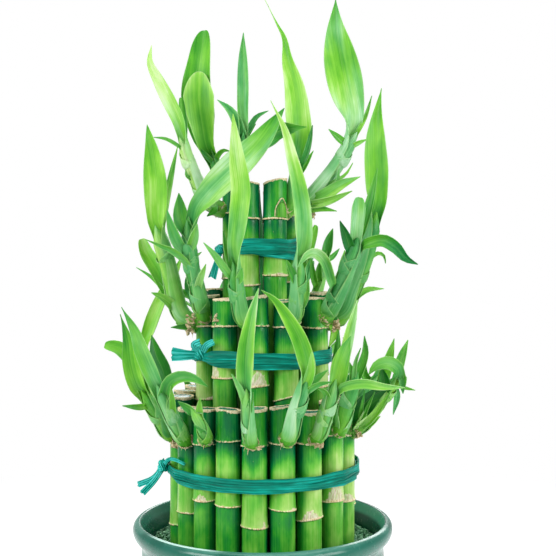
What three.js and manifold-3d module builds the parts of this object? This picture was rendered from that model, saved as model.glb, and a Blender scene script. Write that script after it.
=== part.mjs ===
// A lucky bamboo tower: cut canes in three tiers, tied with raffia, standing in the gravel of a glazed pot.
// Most canes have grown a leafy shoot just under their cut top.
// Millimetres, +Z up, the front of the plant towards -Y.
import * as THREE from "three";
import { mergeVertices } from "three/addons/utils/BufferGeometryUtils.js";
import Module from "manifold-3d";

const wasm = await Module();
wasm.setup();

// Driving dimensions
const REST_GAP = 0.3;
const POT_HEIGHT = 85.5;
const POT_SIDES = 32;
const POT_FLOOR = 8;
const FOOT_RADIUS = 46;
const NECK_RADIUS = 59.8;
const RIM_RADIUS = 64.4;
const GRAVEL_TOP = 74.5;
const GRAVEL_OUTLINE = [[43, POT_FLOOR], [47, 20], [51.6, 40], [55, 58], [56.5, GRAVEL_TOP]];
const GRAVEL_CROWN = [53, 48];
const GRAVEL_BUMP = 2.4;
const CANE_RADIUS = 5.9;
const CANE_SIDES = 8;
const CANE_FOOT = 22;
const NODE_SWELL = 0.4;
const NODE_STEP = 1.2;
const BLADE_THICKNESS = 0.8;
// The depth of a blade's channel, as a share of its half width
const BLADE_CHANNEL = 0.22;
const BROAD_LEAF = 6;
// Unless a leaf has its own: where it is widest, as a share of its length, and the power that shapes its point
const BELLY = 0.4;
const TAPER = 0.9;
// A leaf's foot is at most this share of the width, and leaves the stem at most at this share of the stem
const FOOT_SHARE = 0.8;
const LAST_START = 0.985;
// The last ring of a blunt blade, as a share of its length
const BLUNT_END = 0.97;
const LEAF_TURN = 26;
const STEM_SIDES = 6;
const STEM_POINT = 2.5;
const RAFFIA_THICKNESS = 0.9;
const RAFFIA_PLEAT = 0.5;
const RAFFIA_STEPS = 30;
// The heights of a band's upper and lower ridge, as shares of its half width
const UPPER_RIDGE = 0.6;
const LOWER_RIDGE = 0.8;
const TAIL_STEPS = 4;
const TAIL_PLEAT = 0.3;

// Points of the shoots are [across, depth, up] as an eye in front of the plant sees them. Across and up are
// read on the upright plane through the pot's axis, and the depth then slides the point along its line of sight.
const EYE_DISTANCE = 475;
const EYE_HEIGHT = 207;

// Each tier is a ring of canes. A cane is [degrees from the front, cut height, heights of its nodes].
const TIERS = {
  lower: {
    ring: 40.3,
    shift: 0,
    canes: [
      [-84, 147, [128, 84]],
      [-60, 143, [125.7, 93.6]],
      [-41.5, 144.4, [127.7, 102]],
      [-23.3, 145, [130.8, 100.7]],
      [-5.5, 145.7, [128.6, 91.7]],
      [12.8, 146.6, [129.8, 99.4]],
      [32, 143.2, [128.9, 93.7]],
      [53.5, 147.2, [131, 100.2]],
      [75, 146.4, [129, 97]],
      [93.3, 151.5, [131, 92]],
      [111.5, 146, [128, 101]],
      [129.8, 148, [130, 95]],
      [148.1, 145, [127, 88]],
      [166.4, 147.5, [130, 98]],
      [184.6, 144, [126, 93]],
      [202.9, 148, [131, 102]],
      [221.2, 145.5, [128, 90]],
      [239.5, 149, [131, 96]],
      [257.7, 148, [129, 87]],
    ],
  },
  middle: {
    ring: 27.5,
    shift: 0,
    canes: [
      [-90, 196.5, [181, 144.8]],
      [-41, 195.7, [182, 157.9]],
      [-7, 196.8, [182.8, 154]],
      [23.5, 194.8, [181.8, 148.6]],
      [70, 195.8, [181, 152]],
      [100, 198, [182, 156]],
      [128, 195, [180, 149]],
      [156, 197, [182, 154]],
      [184, 194, [179, 151]],
      [212, 196, [181, 156]],
      [241, 199.8, [183, 150]],
    ],
  },
  top: {
    ring: 13.5,
    shift: -0.8,
    canes: [
      [-90, 250, [237.5, 205]],
      [-30, 251.8, [234, 201.7]],
      [30, 252.6, [233.5, 206.5]],
      [90, 250.5, [236, 203]],
      [150, 249, [233, 207]],
      [210, 251, [235, 202]],
    ],
  },
};

// A shoot is { cane, stem: points, radius: [at its foot, at its end], leaves }. A leaf is { at: share of the
// stem where it leaves, wide: its full width, turn: [degrees at its foot, at its tip] that it is turned away from
// facing the front, belly: share of its length where it is widest, taper: power of its point (more is slimmer),
// blunt: power of its rounded end (less is squarer), path: points }.
const SHOOTS = [
  // The lower tier, from the left round the front to the right
  {
    cane: "lower_19", stem: [[-50, 12, 140], [-57, 14, 152], [-60.5, 15, 163]], radius: [2.8, 2.2],
    leaves: [
      {
        at: 1, wide: 6.8, belly: 0.4,
        path: [[-57.5, 16, 177], [-51.5, 17, 193], [-44, 18, 207], [-40, 19, 217]],
      },
      { at: 0.6, wide: 3, turn: [10, 30], path: [[-61, 20, 152], [-66, 25, 158]] },
    ],
  },
  {
    cane: "lower_01", stem: [[-47, -10, 127], [-52, -16, 135], [-57, -19, 143]], radius: [3.6, 2.9],
    leaves: [
      {
        at: 1, wide: 8.6, belly: 0.3, taper: 1.2,
        path: [[-62.6, -21, 152], [-65.8, -22, 163], [-67.2, -22, 174], [-71.3, -22, 187]],
      },
      {
        at: 1, wide: 6.6, belly: 0.7, blunt: 0.25,
        path: [[-65, -18, 163], [-72, -16, 170], [-79, -15, 171.5]],
      },
      { at: 0.9, wide: 3, path: [[-63, -24, 140.8], [-70.2, -26, 141.2]] },
    ],
  },
  {
    cane: "lower_02", stem: [[-40, -28, 125], [-45, -32, 134], [-50, -34, 145]], radius: [3.7, 2.9],
    leaves: [
      {
        at: 1, wide: 7.4, belly: 0.4, taper: 1.2,
        path: [[-55, -35, 156], [-60, -36, 168], [-64, -37, 179], [-70.7, -38, 190.5]],
      },
      { at: 0.9, wide: 7, belly: 0.5, path: [[-49.5, -31, 157], [-53.5, -29, 167], [-55.6, -28, 176.5]] },
      {
        at: 0.85, wide: 5.6,
        path: [[-47, -38, 152], [-41.5, -40, 155.4], [-34.5, -42, 154.6], [-27.5, -43, 150.6]],
      },
      { at: 0.6, wide: 3, path: [[-45.5, -38, 143], [-46, -40, 151]] },
    ],
  },
  {
    cane: "lower_03", stem: [[-29, -40, 126], [-30.5, -45, 130], [-33.5, -47, 135.5]], radius: [3.3, 2.2],
    leaves: [
      { at: 1, wide: 3.8, path: [[-37, -48, 139.7], [-42.5, -49, 143.3]] },
      { at: 0.8, wide: 3.2, path: [[-32, -46, 138], [-31.5, -45, 145]] },
      { at: 0.6, wide: 2.6, path: [[-30, -50, 128.5], [-34.5, -51, 131.5]] },
    ],
  },
  {
    cane: "lower_05", stem: [[-6.5, -49, 124], [-7.5, -52, 133], [-8, -53, 143]], radius: [3.2, 2.4],
    leaves: [
      {
        at: 1, wide: 7.5, belly: 0.3,
        path: [[-9, -54, 156], [-8.3, -52, 170], [-6, -49, 184], [-2.2, -46, 200]],
      },
      { at: 0.8, wide: 2.8, path: [[-11, -54, 148], [-15.7, -55, 157]] },
      { at: 0.7, wide: 2.6, path: [[-6.5, -55, 141], [-5, -54, 148]] },
    ],
  },
  {
    cane: "lower_06", stem: [[13.5, -48, 126], [16, -52, 136], [20, -54, 148]], radius: [3.9, 2.9],
    leaves: [
      {
        at: 1, wide: 7.4, belly: 0.3,
        path: [[22, -54, 160], [18.5, -52, 174], [12, -49, 186], [5.5, -47, 194.5], [-1, -46, 199]],
      },
      { at: 0.9, wide: 2.6, path: [[27, -56, 151.5], [34.5, -56, 153]] },
      { at: 0.95, wide: 4, path: [[24, -57, 158], [24.3, -57, 168]] },
      { at: 0.95, wide: 3.4, path: [[27, -52, 155], [32.5, -51, 159]] },
    ],
  },
  {
    cane: "lower_07", stem: [[28, -42, 126], [31, -46, 135], [34.5, -47, 147]], radius: [3.5, 2.8],
    leaves: [
      {
        at: 1, wide: 7.8, belly: 0.4,
        path: [[37.6, -47, 155], [39, -47, 162], [41.6, -46, 170], [44, -46, 176]],
      },
      { at: 0.97, wide: 5, belly: 0.5, path: [[40, -43, 164], [43.3, -41, 179], [47.3, -39, 194]] },
      { at: 0.95, wide: 4, path: [[37, -42, 164], [38, -39, 179]] },
      {
        at: 0.95, wide: 4.2, belly: 0.45,
        path: [[41, -50, 150.5], [50, -52, 152.3], [60, -53, 150.8], [71, -54, 150]],
      },
      { at: 0.8, wide: 2.8, path: [[31, -50, 148], [27, -51, 150]] },
    ],
  },
  {
    cane: "lower_08", stem: [[39, -30, 130], [41.5, -33, 139], [45, -34, 150]], radius: [3.8, 3.2],
    leaves: [
      { at: 1, wide: 3.8, path: [[49, -34, 160], [51.4, -33, 168], [50.8, -32, 176]] },
      { at: 1, wide: 3, path: [[44.6, -33, 157], [43.2, -32, 163]] },
      { at: 0.95, wide: 1.8, path: [[46.5, -37, 163], [49, -38, 170]] },
    ],
  },
  {
    cane: "lower_09", stem: [[48, -14, 130], [54, -17, 137.5], [60.5, -18, 145.5], [66, -18, 152]],
    radius: [3.9, 2.4],
    leaves: [
      { at: 0.3, wide: 2.8, path: [[53, -20, 131.5], [58.8, -22, 135.7]] },
      { at: 0.2, wide: 9, belly: 0.5, path: [[49.5, -22, 140], [55, -25, 146], [63, -27, 150]] },
      {
        at: 0.9, wide: 6.2, belly: 0.55,
        path: [[68, -22, 158.5], [62.5, -25, 162.3], [56, -26, 160.3], [53, -26, 156.5]],
      },
      { at: 0.7, wide: 5.8, belly: 0.5, path: [[61, -22, 152], [59.5, -23, 160]] },
      { at: 0.8, wide: 6, path: [[60, -13, 153], [63, -11, 165], [65.8, -10, 174.7]] },
      { at: 1, wide: 4.4, path: [[68.5, -15, 162], [72.7, -14, 174]] },
      { at: 1, wide: 4, path: [[69.5, -20, 156], [70.2, -22, 147]] },
      { at: 0.97, wide: 3, path: [[67, -15, 147], [65.3, -14, 136.5]] },
      { at: 1, wide: 1.6, path: [[71, -17, 150], [76.3, -17, 148.7]] },
      { at: 1, wide: 2, path: [[69.5, -12, 157], [72.2, -11, 154.7]] },
    ],
  },
  // The middle tier
  {
    cane: "middle_01", stem: [[-38.5, 1, 183.5], [-43, 1, 192], [-45.5, 2, 202], [-48, 2, 212], [-51, 1, 222]],
    radius: [4.2, 3.9],
    leaves: [
      {
        at: 1, wide: 11.8, belly: 0.45,
        path: [[-52.6, 1, 236], [-53.1, 0, 252], [-55, -1, 268], [-57.8, -2, 281.5]],
      },
      {
        at: 0.3, wide: 7, belly: 0.75, blunt: 0.25,
        path: [[-49, 6, 201], [-54, 8, 210.5], [-58.5, 9, 218], [-60.7, 9, 224.5]],
      },
      { at: 0.35, wide: 2, path: [[-55, 8, 205], [-63.2, 10, 210.3]] },
      { at: 0.3, wide: 4.6, path: [[-49, -5, 194.5], [-55.7, -7, 197.7]] },
      { at: 0.05, wide: 3.4, path: [[-41.5, -4, 180.8], [-46, -5, 180.3]] },
      { at: 1, wide: 3.4, path: [[-49, 7, 240], [-46, 8, 256], [-42.5, 9, 271]] },
    ],
  },
  {
    cane: "middle_01", stem: [[-30.5, -8, 189], [-33, -10, 200], [-35.8, -11, 211], [-37.3, -11, 226]],
    radius: [3.6, 3.1],
    leaves: [
      {
        at: 1, wide: 14.4, belly: 0.5,
        path: [[-34, -13, 237], [-26.3, -16, 247.7], [-13.4, -18, 260.4], [-1, -17, 273], [10.7, -15, 290]],
      },
      { at: 0.97, wide: 7.6, path: [[-41, -10, 235], [-42, -11, 247.5]] },
      { at: 0.8, wide: 5.4, path: [[-41.5, -14, 221], [-45.6, -15, 231], [-47.8, -15, 239]] },
      { at: 0.85, wide: 4.5, path: [[-35.5, -15, 222], [-32.8, -16, 232]] },
      { at: 0.68, wide: 1.8, path: [[-33.5, -12, 215.5], [-30.7, -12, 218]] },
      { at: 0.4, wide: 3.4, path: [[-32, -15, 203], [-28.5, -17, 212]] },
      {
        at: 0.5, wide: 3,
        path: [[-38.5, -15, 213], [-45, -16, 218.5], [-52, -17, 221.5], [-58.5, -18, 224.2]],
      },
    ],
  },
  {
    cane: "middle_03", stem: [[-10, -35, 184], [-12.5, -38, 194], [-14, -39, 205]], radius: [3.5, 3],
    leaves: [
      {
        at: 1, wide: 9, belly: 0.5,
        path: [[-13.8, -39, 218], [-12, -38, 236], [-10.8, -36, 249], [-12.8, -34, 266], [-15, -32, 287]],
      },
      { at: 0.9, wide: 3.4, path: [[-18.5, -41, 208.5], [-24, -43, 216], [-29.7, -44, 222.7]] },
      { at: 0.95, wide: 3.4, path: [[-11.8, -42, 204], [-10.3, -43, 210]] },
      { at: 1, wide: 3, path: [[-17.3, -37, 215], [-20, -36, 228.5]] },
    ],
  },
  {
    cane: "middle_04", stem: [[16, -32, 186], [17.3, -36, 196], [18, -37, 208]], radius: [3.6, 3],
    leaves: [
      {
        at: 1, wide: 7.8, belly: 0.25, taper: 1.1,
        path: [
          [19.8, -37, 222], [20.2, -36, 236], [18.3, -34, 250],
          [14.8, -32, 265], [11, -30, 279], [3.8, -28, 293.7],
        ],
      },
      { at: 0.75, wide: 3.4, path: [[15, -40, 206.5], [11.8, -41, 214]] },
      { at: 0.3, wide: 3, path: [[21.5, -37, 195], [23, -37, 204.5]] },
      { at: 0.95, wide: 4, belly: 0.6, blunt: 0.25, path: [[22.7, -33, 219], [26.4, -31, 231.5]] },
    ],
  },
  {
    cane: "middle_05", stem: [[32.5, -13, 187.5], [38, -17, 199], [42.3, -19, 210], [46, -20, 220]],
    radius: [4.1, 3.2],
    leaves: [
      { at: 1, wide: 4, path: [[50, -20, 231], [54, -19, 245], [57.3, -18, 260]] },
      { at: 1, wide: 6.6, belly: 0.8, blunt: 0.25, path: [[46.8, -23, 230], [47.8, -25, 245.5]] },
      { at: 0.88, wide: 4.6, path: [[42.3, -23, 224], [38.5, -25, 233.7]] },
      {
        at: 0.97, wide: 5.6, belly: 0.5,
        path: [[53, -24, 222.5], [60, -26, 224], [66.5, -27, 220.5], [71.5, -28, 215], [77.7, -29, 211.8]],
      },
      {
        at: 0.4, wide: 4.6, belly: 0.6,
        path: [[33.8, -24, 205], [31, -29, 213.4], [26.4, -36, 217.6], [21.6, -42, 216.5], [17.5, -46, 210.5]],
      },
      { at: 0.55, wide: 3.4, path: [[39.3, -13, 211], [41, -11, 219]] },
    ],
  },
  {
    cane: "middle_06", stem: [[38.5, 1, 185], [43, -2, 194], [48, -5, 206], [52.3, -6, 217], [55, -6, 229]],
    radius: [4, 3.7],
    leaves: [
      {
        at: 1, wide: 11.2, belly: 0.42, taper: 1.2,
        path: [[56.6, -6, 243], [57, -6, 256], [56.6, -6, 272], [57.2, -6, 286], [59.3, -6, 300]],
      },
      { at: 0.7, wide: 1.8, path: [[57.7, -3, 217.5], [60.7, -2, 216], [61.4, -2, 212.3]] },
      { at: 0.3, wide: 3, path: [[51, 0, 198.6], [60.7, 2, 199.7]] },
      { at: 0.05, wide: 2, path: [[43, -1, 185.5], [47, -1, 184.3]] },
      { at: 0.1, wide: 5, path: [[35.5, -7, 178], [33, -9, 170.5]] },
    ],
  },
  {
    cane: "middle_07", stem: [[25.5, 19, 192], [28.5, 22, 203], [31, 23, 214]], radius: [2.6, 2],
    leaves: [
      { at: 1, wide: 4.8, path: [[33, 24, 223], [35, 24, 229.8]] },
      { at: 0.95, wide: 2.6, path: [[35, 25, 216], [38.3, 26, 219.8]] },
      { at: 0.6, wide: 3.6, path: [[28, 19, 207], [28.7, 18, 214]] },
      { at: 0.5, wide: 3, path: [[25, 18, 206], [23.8, 17, 216]] },
    ],
  },
  // The top tier
  {
    cane: "top_01", stem: [[-26, -3, 242], [-32, -4, 251], [-36, -4, 260], [-39.3, -4, 269]],
    radius: [3.7, 2.7],
    leaves: [
      {
        at: 1, wide: 6.6, belly: 0.45,
        path: [
          [-40.5, -4, 279], [-45.8, -4, 291.5], [-51.9, -4, 303.5],
          [-56.2, -4, 312.5], [-55.6, -4, 321],
        ],
      },
      { at: 0.98, wide: 3.6, belly: 0.6, blunt: 0.25, path: [[-39.7, 0, 280], [-41, 1, 295]] },
      { at: 0.97, wide: 1.6, path: [[-43, -7, 271.5], [-48.5, -8, 274.5], [-54.5, -9, 275.2]] },
      { at: 0.6, wide: 1.8, path: [[-38, -7, 256], [-38.6, -8, 259]] },
      { at: 0.3, wide: 3.4, path: [[-24, -7, 239.5], [-28, -8, 235.8]] },
    ],
  },
  {
    cane: "top_06", stem: [[-16, 14, 245], [-21, 15, 254], [-24, 15, 262]], radius: [3.2, 2.8],
    leaves: [
      {
        at: 1, wide: 16.4, belly: 0.42, blunt: 0.25,
        path: [[-27.8, 15, 270], [-30.4, 14, 281], [-32.6, 14, 299], [-31, 16, 315], [-29.2, 20, 328.5]],
      },
      {
        at: 0.97, wide: 15.4, belly: 0.75, blunt: 0.45, turn: [0, 0],
        path: [[-28, 11, 270], [-30.2, 9, 281], [-32, 9, 295], [-31.8, 10, 308]],
      },
      { at: 0.95, wide: 2.2, path: [[-28, 11, 266], [-31.7, 10, 269.8]] },
      { at: 1, wide: 2.4, path: [[-22, 11, 267], [-19.5, 10, 268.8], [-16.5, 9, 268.3]] },
    ],
  },
  {
    cane: "top_01", stem: [[-14.6, 7, 244], [-12.6, 7, 257], [-10.3, 4, 273]], radius: [2.4, 2],
    leaves: [
      { at: 1, wide: 5.6, belly: 0.5, path: [[-9.9, 4, 288], [-9.7, 5, 305], [-9.8, 6, 327.5]] },
      { at: 0.97, wide: 5, path: [[-13.5, 3, 283.5], [-17, 2, 289], [-22.8, 1, 294]] },
      { at: 0.98, wide: 2.8, path: [[-6.5, 5, 280], [-3, 6, 285.5], [2.7, 7, 288.6]] },
      { at: 0.95, wide: 2, path: [[-6.5, 7, 278.5], [-3.6, 8, 282]] },
      {
        at: 0.9, wide: 9.6, belly: 0.5, taper: 1.2, turn: [0, 0],
        path: [[-3, 0, 271.5], [7, -7, 278], [14, -12, 279.6], [21.8, -14, 280.6]],
      },
    ],
  },
  {
    cane: "top_03", stem: [[14.2, -11, 240], [15.4, -11, 250], [17, -10, 259]], radius: [3, 2.6],
    leaves: [
      {
        at: 1, wide: 12, belly: 0.27, taper: 2.5,
        path: [
          [18, -8, 266], [17.8, -7, 282], [16, -6, 300], [12.3, -5, 314], [10.6, -4, 325], [6.7, -4, 332.8],
          [0.8, -4, 344.3],
        ],
      },
      { at: 0.95, wide: 2.8, path: [[20.7, -12, 265], [23, -12, 273], [24.8, -11, 281.5]] },
      { at: 0.8, wide: 2.6, path: [[20.5, -8, 260.5], [25.2, -6, 268.7]] },
    ],
  },
  {
    cane: "top_04", stem: [[23, -3, 244.5], [31, -4, 253.5], [37.7, -4, 262], [43, -4, 271]],
    radius: [3.4, 3.3],
    leaves: [
      {
        at: 1, wide: 17, belly: 0.46, taper: 1.15,
        path: [
          [44.5, -4, 280], [43.8, -4, 290], [41.3, -4, 303], [38.6, -4, 317], [36.6, -4, 330],
          [36.3, -4, 344.5],
        ],
      },
      { at: 1, wide: 3.4, path: [[37.5, -7, 275], [32.8, -8, 279.5]] },
      { at: 1, wide: 2, path: [[51, -3, 285], [54.5, -2, 296.3]] },
      { at: 0.95, wide: 2.2, path: [[48, -7, 272.8], [52, -8, 274.4]] },
      { at: 0.2, wide: 6, path: [[30, -9, 246], [40, -11, 252], [48.7, -12, 255.8]] },
      { at: 0.15, wide: 4, path: [[32, -11, 243.5], [44.7, -13, 248.6]] },
      { at: 0.05, wide: 3.4, path: [[28, -8, 239.5], [37, -9, 238.5]] },
      { at: 0.35, wide: 2.4, path: [[36.5, -8, 252], [38, -8, 260]] },
      { at: 0.4, wide: 1.6, path: [[41, -9, 256.5], [45, -10, 262.7]] },
    ],
  },
  // Shoots behind the tower that the front ones hide
  {
    cane: "lower_10", stem: [[46, 6, 138], [51, 9, 146], [55, 11, 152]], radius: [2.6, 2],
    leaves: [
      { at: 1, wide: 4.6, path: [[59, 13, 158], [62, 15, 165]] },
      { at: 0.9, wide: 4, path: [[50, 14, 158], [50, 17, 168]] },
      { at: 0.6, wide: 3, path: [[54, 5, 144], [60, 4, 148]] },
    ],
  },
  {
    cane: "lower_11", stem: [[43, 22, 137], [47, 27, 144], [51, 31, 150]], radius: [2.6, 2],
    leaves: [
      { at: 1, wide: 5, path: [[58, 35, 155], [64, 39, 158]] },
      { at: 0.9, wide: 4, path: [[51, 38, 152], [54, 46, 154]] },
      { at: 0.6, wide: 3, path: [[51, 26, 141], [56, 28, 147]] },
    ],
  },
  {
    cane: "lower_18", stem: [[-41, 26, 136], [-48, 30, 143], [-54, 33, 151]], radius: [2.6, 2],
    leaves: [
      { at: 1, wide: 5, path: [[-59, 35, 160], [-61, 37, 171]] },
      { at: 0.9, wide: 4, path: [[-56, 38, 152], [-58, 44, 156]] },
      { at: 0.6, wide: 3, path: [[-48, 36, 143], [-50, 44, 150]] },
    ],
  },
  {
    cane: "middle_10", stem: [[-12, 34, 190], [-13, 38, 203], [-13.5, 40, 215]], radius: [2.8, 2.2],
    leaves: [
      { at: 1, wide: 7, belly: 0.4, path: [[-13, 41, 228], [-12, 41, 250]] },
      { at: 0.7, wide: 3.6, path: [[-17, 44, 212], [-18, 50, 224]] },
      { at: 0.5, wide: 3, path: [[-8, 44, 205], [-5, 51, 213]] },
    ],
  },
  {
    cane: "top_05", stem: [[10, 20, 242], [15, 26, 252], [18, 29, 263]], radius: [2.8, 2.2],
    leaves: [
      { at: 1, wide: 6.6, belly: 0.4, path: [[18, 31, 278], [16, 32, 300]] },
      { at: 0.8, wide: 3.6, path: [[18, 34, 261], [20, 40, 268]] },
      { at: 0.6, wide: 3, path: [[13, 31, 250], [9, 38, 252]] },
    ],
  },
];

// Shoots round the back follow three habits. Their points are [sideways, outwards, up] from the cane's axis at
// its node.
const HABITS = [
  {
    stem: [[1, 9, 8], [2, 13, 20], [2, 15, 32]], radius: [2.8, 2.2],
    leaves: [
      { at: 1, wide: 8, belly: 0.4, path: [[1, 17, 48], [-1, 17, 66], [1, 15, 84]] },
      { at: 0.8, wide: 4, turn: [10, 30], path: [[-4, 19, 36], [-8, 26, 46]] },
      { at: 0.9, wide: 3.4, turn: [-10, -30], path: [[6, 18, 42], [7, 26, 50]] },
      { at: 0.5, wide: 2.6, path: [[3, 22, 24], [2, 31, 27]] },
    ],
  },
  {
    stem: [[-1, 10, 6], [-2, 16, 16], [-3, 20, 28]], radius: [2.9, 2.3],
    leaves: [
      { at: 1, wide: 6.4, belly: 0.4, path: [[-3, 24, 42], [-1, 26, 56], [1, 26, 70]] },
      { at: 0.95, wide: 4.6, belly: 0.5, path: [[-1, 29, 35], [0, 38, 37], [1, 46, 31]] },
      { at: 0.6, wide: 2.6, turn: [20, 20], path: [[-6, 19, 26], [-7, 21, 35]] },
      { at: 0.4, wide: 2.4, path: [[3, 20, 15], [6, 27, 18]] },
    ],
  },
  {
    stem: [[0, 9, 7], [1, 12, 17], [2, 13, 26]], radius: [2.7, 2],
    leaves: [
      { at: 1, wide: 5, belly: 0.4, path: [[3, 14, 38], [3, 13, 54]] },
      { at: 0.95, wide: 4, turn: [20, 30], path: [[-3, 17, 32], [-6, 19, 44]] },
      { at: 0.9, wide: 3.4, turn: [-20, -20], path: [[6, 18, 30], [7, 25, 33]] },
      { at: 0.5, wide: 2.4, path: [[-2, 19, 18], [-4, 27, 20]] },
    ],
  },
];

// The canes that carry a shoot of one of those habits: [cane, habit, mirrored, height scale]
const BACK_SHOOTS = [
  ["lower_12", 2, -1, 0.8],
  ["lower_13", 0, 1, 0.95],
  ["lower_14", 1, -1, 0.9],
  ["lower_15", 2, 1, 1.2],
  ["lower_16", 0, -1, 0.9],
  ["lower_17", 2, -1, 0.6],
  ["middle_08", 1, 1, 0.9],
  ["middle_09", 0, -1, 0.9],
  ["middle_11", 2, 1, 0.5],
];

const FRONT = new THREE.Vector3(0, -1, 0);

// The same number between 0 and 1 for the same seed, every time.
function random(seed) {
  const wave = Math.sin(seed * 12.9898 + 4.1) * 43758.5453;
  return wave - Math.floor(wave);
}

// Moves a seen point [across, depth, up] to its real place.
function seen([across, depth, up]) {
  const nearer = (EYE_DISTANCE + depth) / EYE_DISTANCE;
  return new THREE.Vector3(across * nearer, depth, EYE_HEIGHT + (up - EYE_HEIGHT) * nearer);
}

// Turns a geometry into a solid, with its shared vertices merged and collapsed triangles dropped.
function solidOf(geometry) {
  const bare = geometry.clone();
  bare.deleteAttribute("normal");
  bare.deleteAttribute("uv");
  const merged = mergeVertices(bare, 1e-4);
  const corners = merged.index.array;
  const kept = [];
  for (let i = 0; i < corners.length; i += 3) {
    const [a, b, c] = [corners[i], corners[i + 1], corners[i + 2]];
    if (a !== b && b !== c && c !== a) kept.push(a, b, c);
  }
  const vertProperties = new Float32Array(merged.attributes.position.array);
  return new wasm.Manifold(new wasm.Mesh({ numProp: 3, vertProperties, triVerts: new Uint32Array(kept) }));
}

// Turns a solid back into a geometry.
function geometryOf(solid) {
  const mesh = solid.getMesh();
  const geometry = new THREE.BufferGeometry();
  geometry.setAttribute("position", new THREE.BufferAttribute(mesh.vertProperties, 3));
  geometry.setIndex(new THREE.BufferAttribute(mesh.triVerts, 1));
  geometry.computeVertexNormals();
  return geometry;
}

function joined(solids) {
  return solids.reduce((whole, next) => whole.add(next));
}

// The volume that a triangle list encloses, negative where the faces point inwards.
function signedVolume(points, faces) {
  return faces.reduce((sum, [a, b, c]) => {
    const cross = new THREE.Vector3().crossVectors(points[b], points[c]);
    return sum + points[a].dot(cross) / 6;
  }, 0);
}

// Skins rings of points into a closed geometry: a hoop, or capped with its last end flat or drawn to a tip.
function skin(rings, { tip = null, hoop = false } = {}) {
  const sides = rings[0].length;
  const points = rings.flat();
  const faces = [];
  const bands = hoop ? rings.length : rings.length - 1;
  for (let i = 0; i < bands; i++)
    for (let j = 0; j < sides; j++) {
      const [here, next] = [i * sides, ((i + 1) % rings.length) * sides];
      const k = (j + 1) % sides;
      faces.push([here + j, here + k, next + k], [here + j, next + k, next + j]);
    }
  const last = (rings.length - 1) * sides;
  if (tip) {
    points.push(tip);
    for (let j = 0; j < sides; j++) faces.push([last + j, last + ((j + 1) % sides), points.length - 1]);
  }
  for (let j = 1; j < sides - 1 && !hoop; j++) {
    faces.push([0, j + 1, j]);
    if (!tip) faces.push([last, last + j, last + j + 1]);
  }
  if (signedVolume(points, faces) < 0) faces.forEach((face) => face.reverse());
  const geometry = new THREE.BufferGeometry().setFromPoints(points);
  geometry.setIndex(faces.flat());
  return geometry;
}

// The two directions across a path at share t: one across the line of sight, and one along it.
function across(path, t, facing, turn = 0) {
  const along = path.getTangentAt(t);
  const side = new THREE.Vector3().crossVectors(along, facing).normalize();
  side.applyAxisAngle(along, THREE.MathUtils.degToRad(turn));
  const out = new THREE.Vector3().crossVectors(side, along).normalize();
  return { side, out };
}

// A leaf's half width at share t of its length: narrow at its foot, widest at its belly, pointed or blunt.
function halfWidth(t, { wide, belly = BELLY, taper = TAPER, blunt = 0 }, foot) {
  const narrow = Math.min(foot / (wide / 2), FOOT_SHARE);
  if (t < belly) {
    const rise = THREE.MathUtils.smoothstep(t, 0, belly);
    return (wide / 2) * (narrow + (1 - narrow) * rise);
  }
  const left = (1 - t) / (1 - belly);
  return (wide / 2) * (blunt ? left ** blunt : Math.sin((left * Math.PI) / 2) ** taper);
}

// The number of bands along a leaf: few on a small one.
function bandsOf({ wide }, points) {
  if (wide >= BROAD_LEAF) return 6;
  return points.length > 3 ? 5 : 3;
}

// A leaf blade: a thin shallow channel that narrows to its tip. A small one is flat above and keeled below.
function blade(points, leaf, foot, facing, index) {
  const path = new THREE.CatmullRomCurve3(points, false, "centripetal");
  const steps = bandsOf(leaf, points);
  const [turnFoot, turnTip] = leaf.turn ?? [0, index % 2 ? LEAF_TURN : -LEAF_TURN];
  const rings = [];
  for (let i = 0; i < steps; i++) {
    const t = leaf.blunt ? (BLUNT_END * i) / (steps - 1) : i / steps;
    const centre = path.getPointAt(t);
    const turn = THREE.MathUtils.lerp(turnFoot, turnTip, t);
    const { side, out } = across(path, t, facing, turn);
    const half = halfWidth(t, leaf, foot) / Math.cos(THREE.MathUtils.degToRad(turn));
    const lift = out.clone().multiplyScalar(half * BLADE_CHANNEL);
    const thick = out.clone().multiplyScalar(BLADE_THICKNESS / 2);
    const ring = [
      centre.clone().addScaledVector(side, -half).add(lift),
      centre.clone().sub(thick),
      centre.clone().addScaledVector(side, half).add(lift),
    ];
    if (leaf.wide >= BROAD_LEAF) ring.push(centre.clone().add(thick));
    rings.push(ring);
  }
  return skin(rings, { tip: path.getPointAt(1) });
}

// A shoot's stem: the rolled leaf sheaths, thickest where it leaves the cane.
function stemSkin(path, [footRadius, endRadius], facing, steps) {
  const rings = [];
  for (let i = 0; i <= steps; i++) {
    const t = i / steps;
    const centre = path.getPointAt(t);
    const radius = THREE.MathUtils.lerp(footRadius, endRadius, t);
    const { side, out } = across(path, t, facing);
    const ring = [];
    for (let j = 0; j < STEM_SIDES; j++) {
      const angle = (j / STEM_SIDES) * 2 * Math.PI;
      const sideways = side.clone().multiplyScalar(radius * Math.cos(angle));
      const outwards = out.clone().multiplyScalar(radius * Math.sin(angle));
      ring.push(centre.clone().add(sideways).add(outwards));
    }
    rings.push(ring);
  }
  const tip = path.getPointAt(1).addScaledVector(path.getTangentAt(1), STEM_POINT * endRadius);
  return skin(rings, { tip });
}

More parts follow.
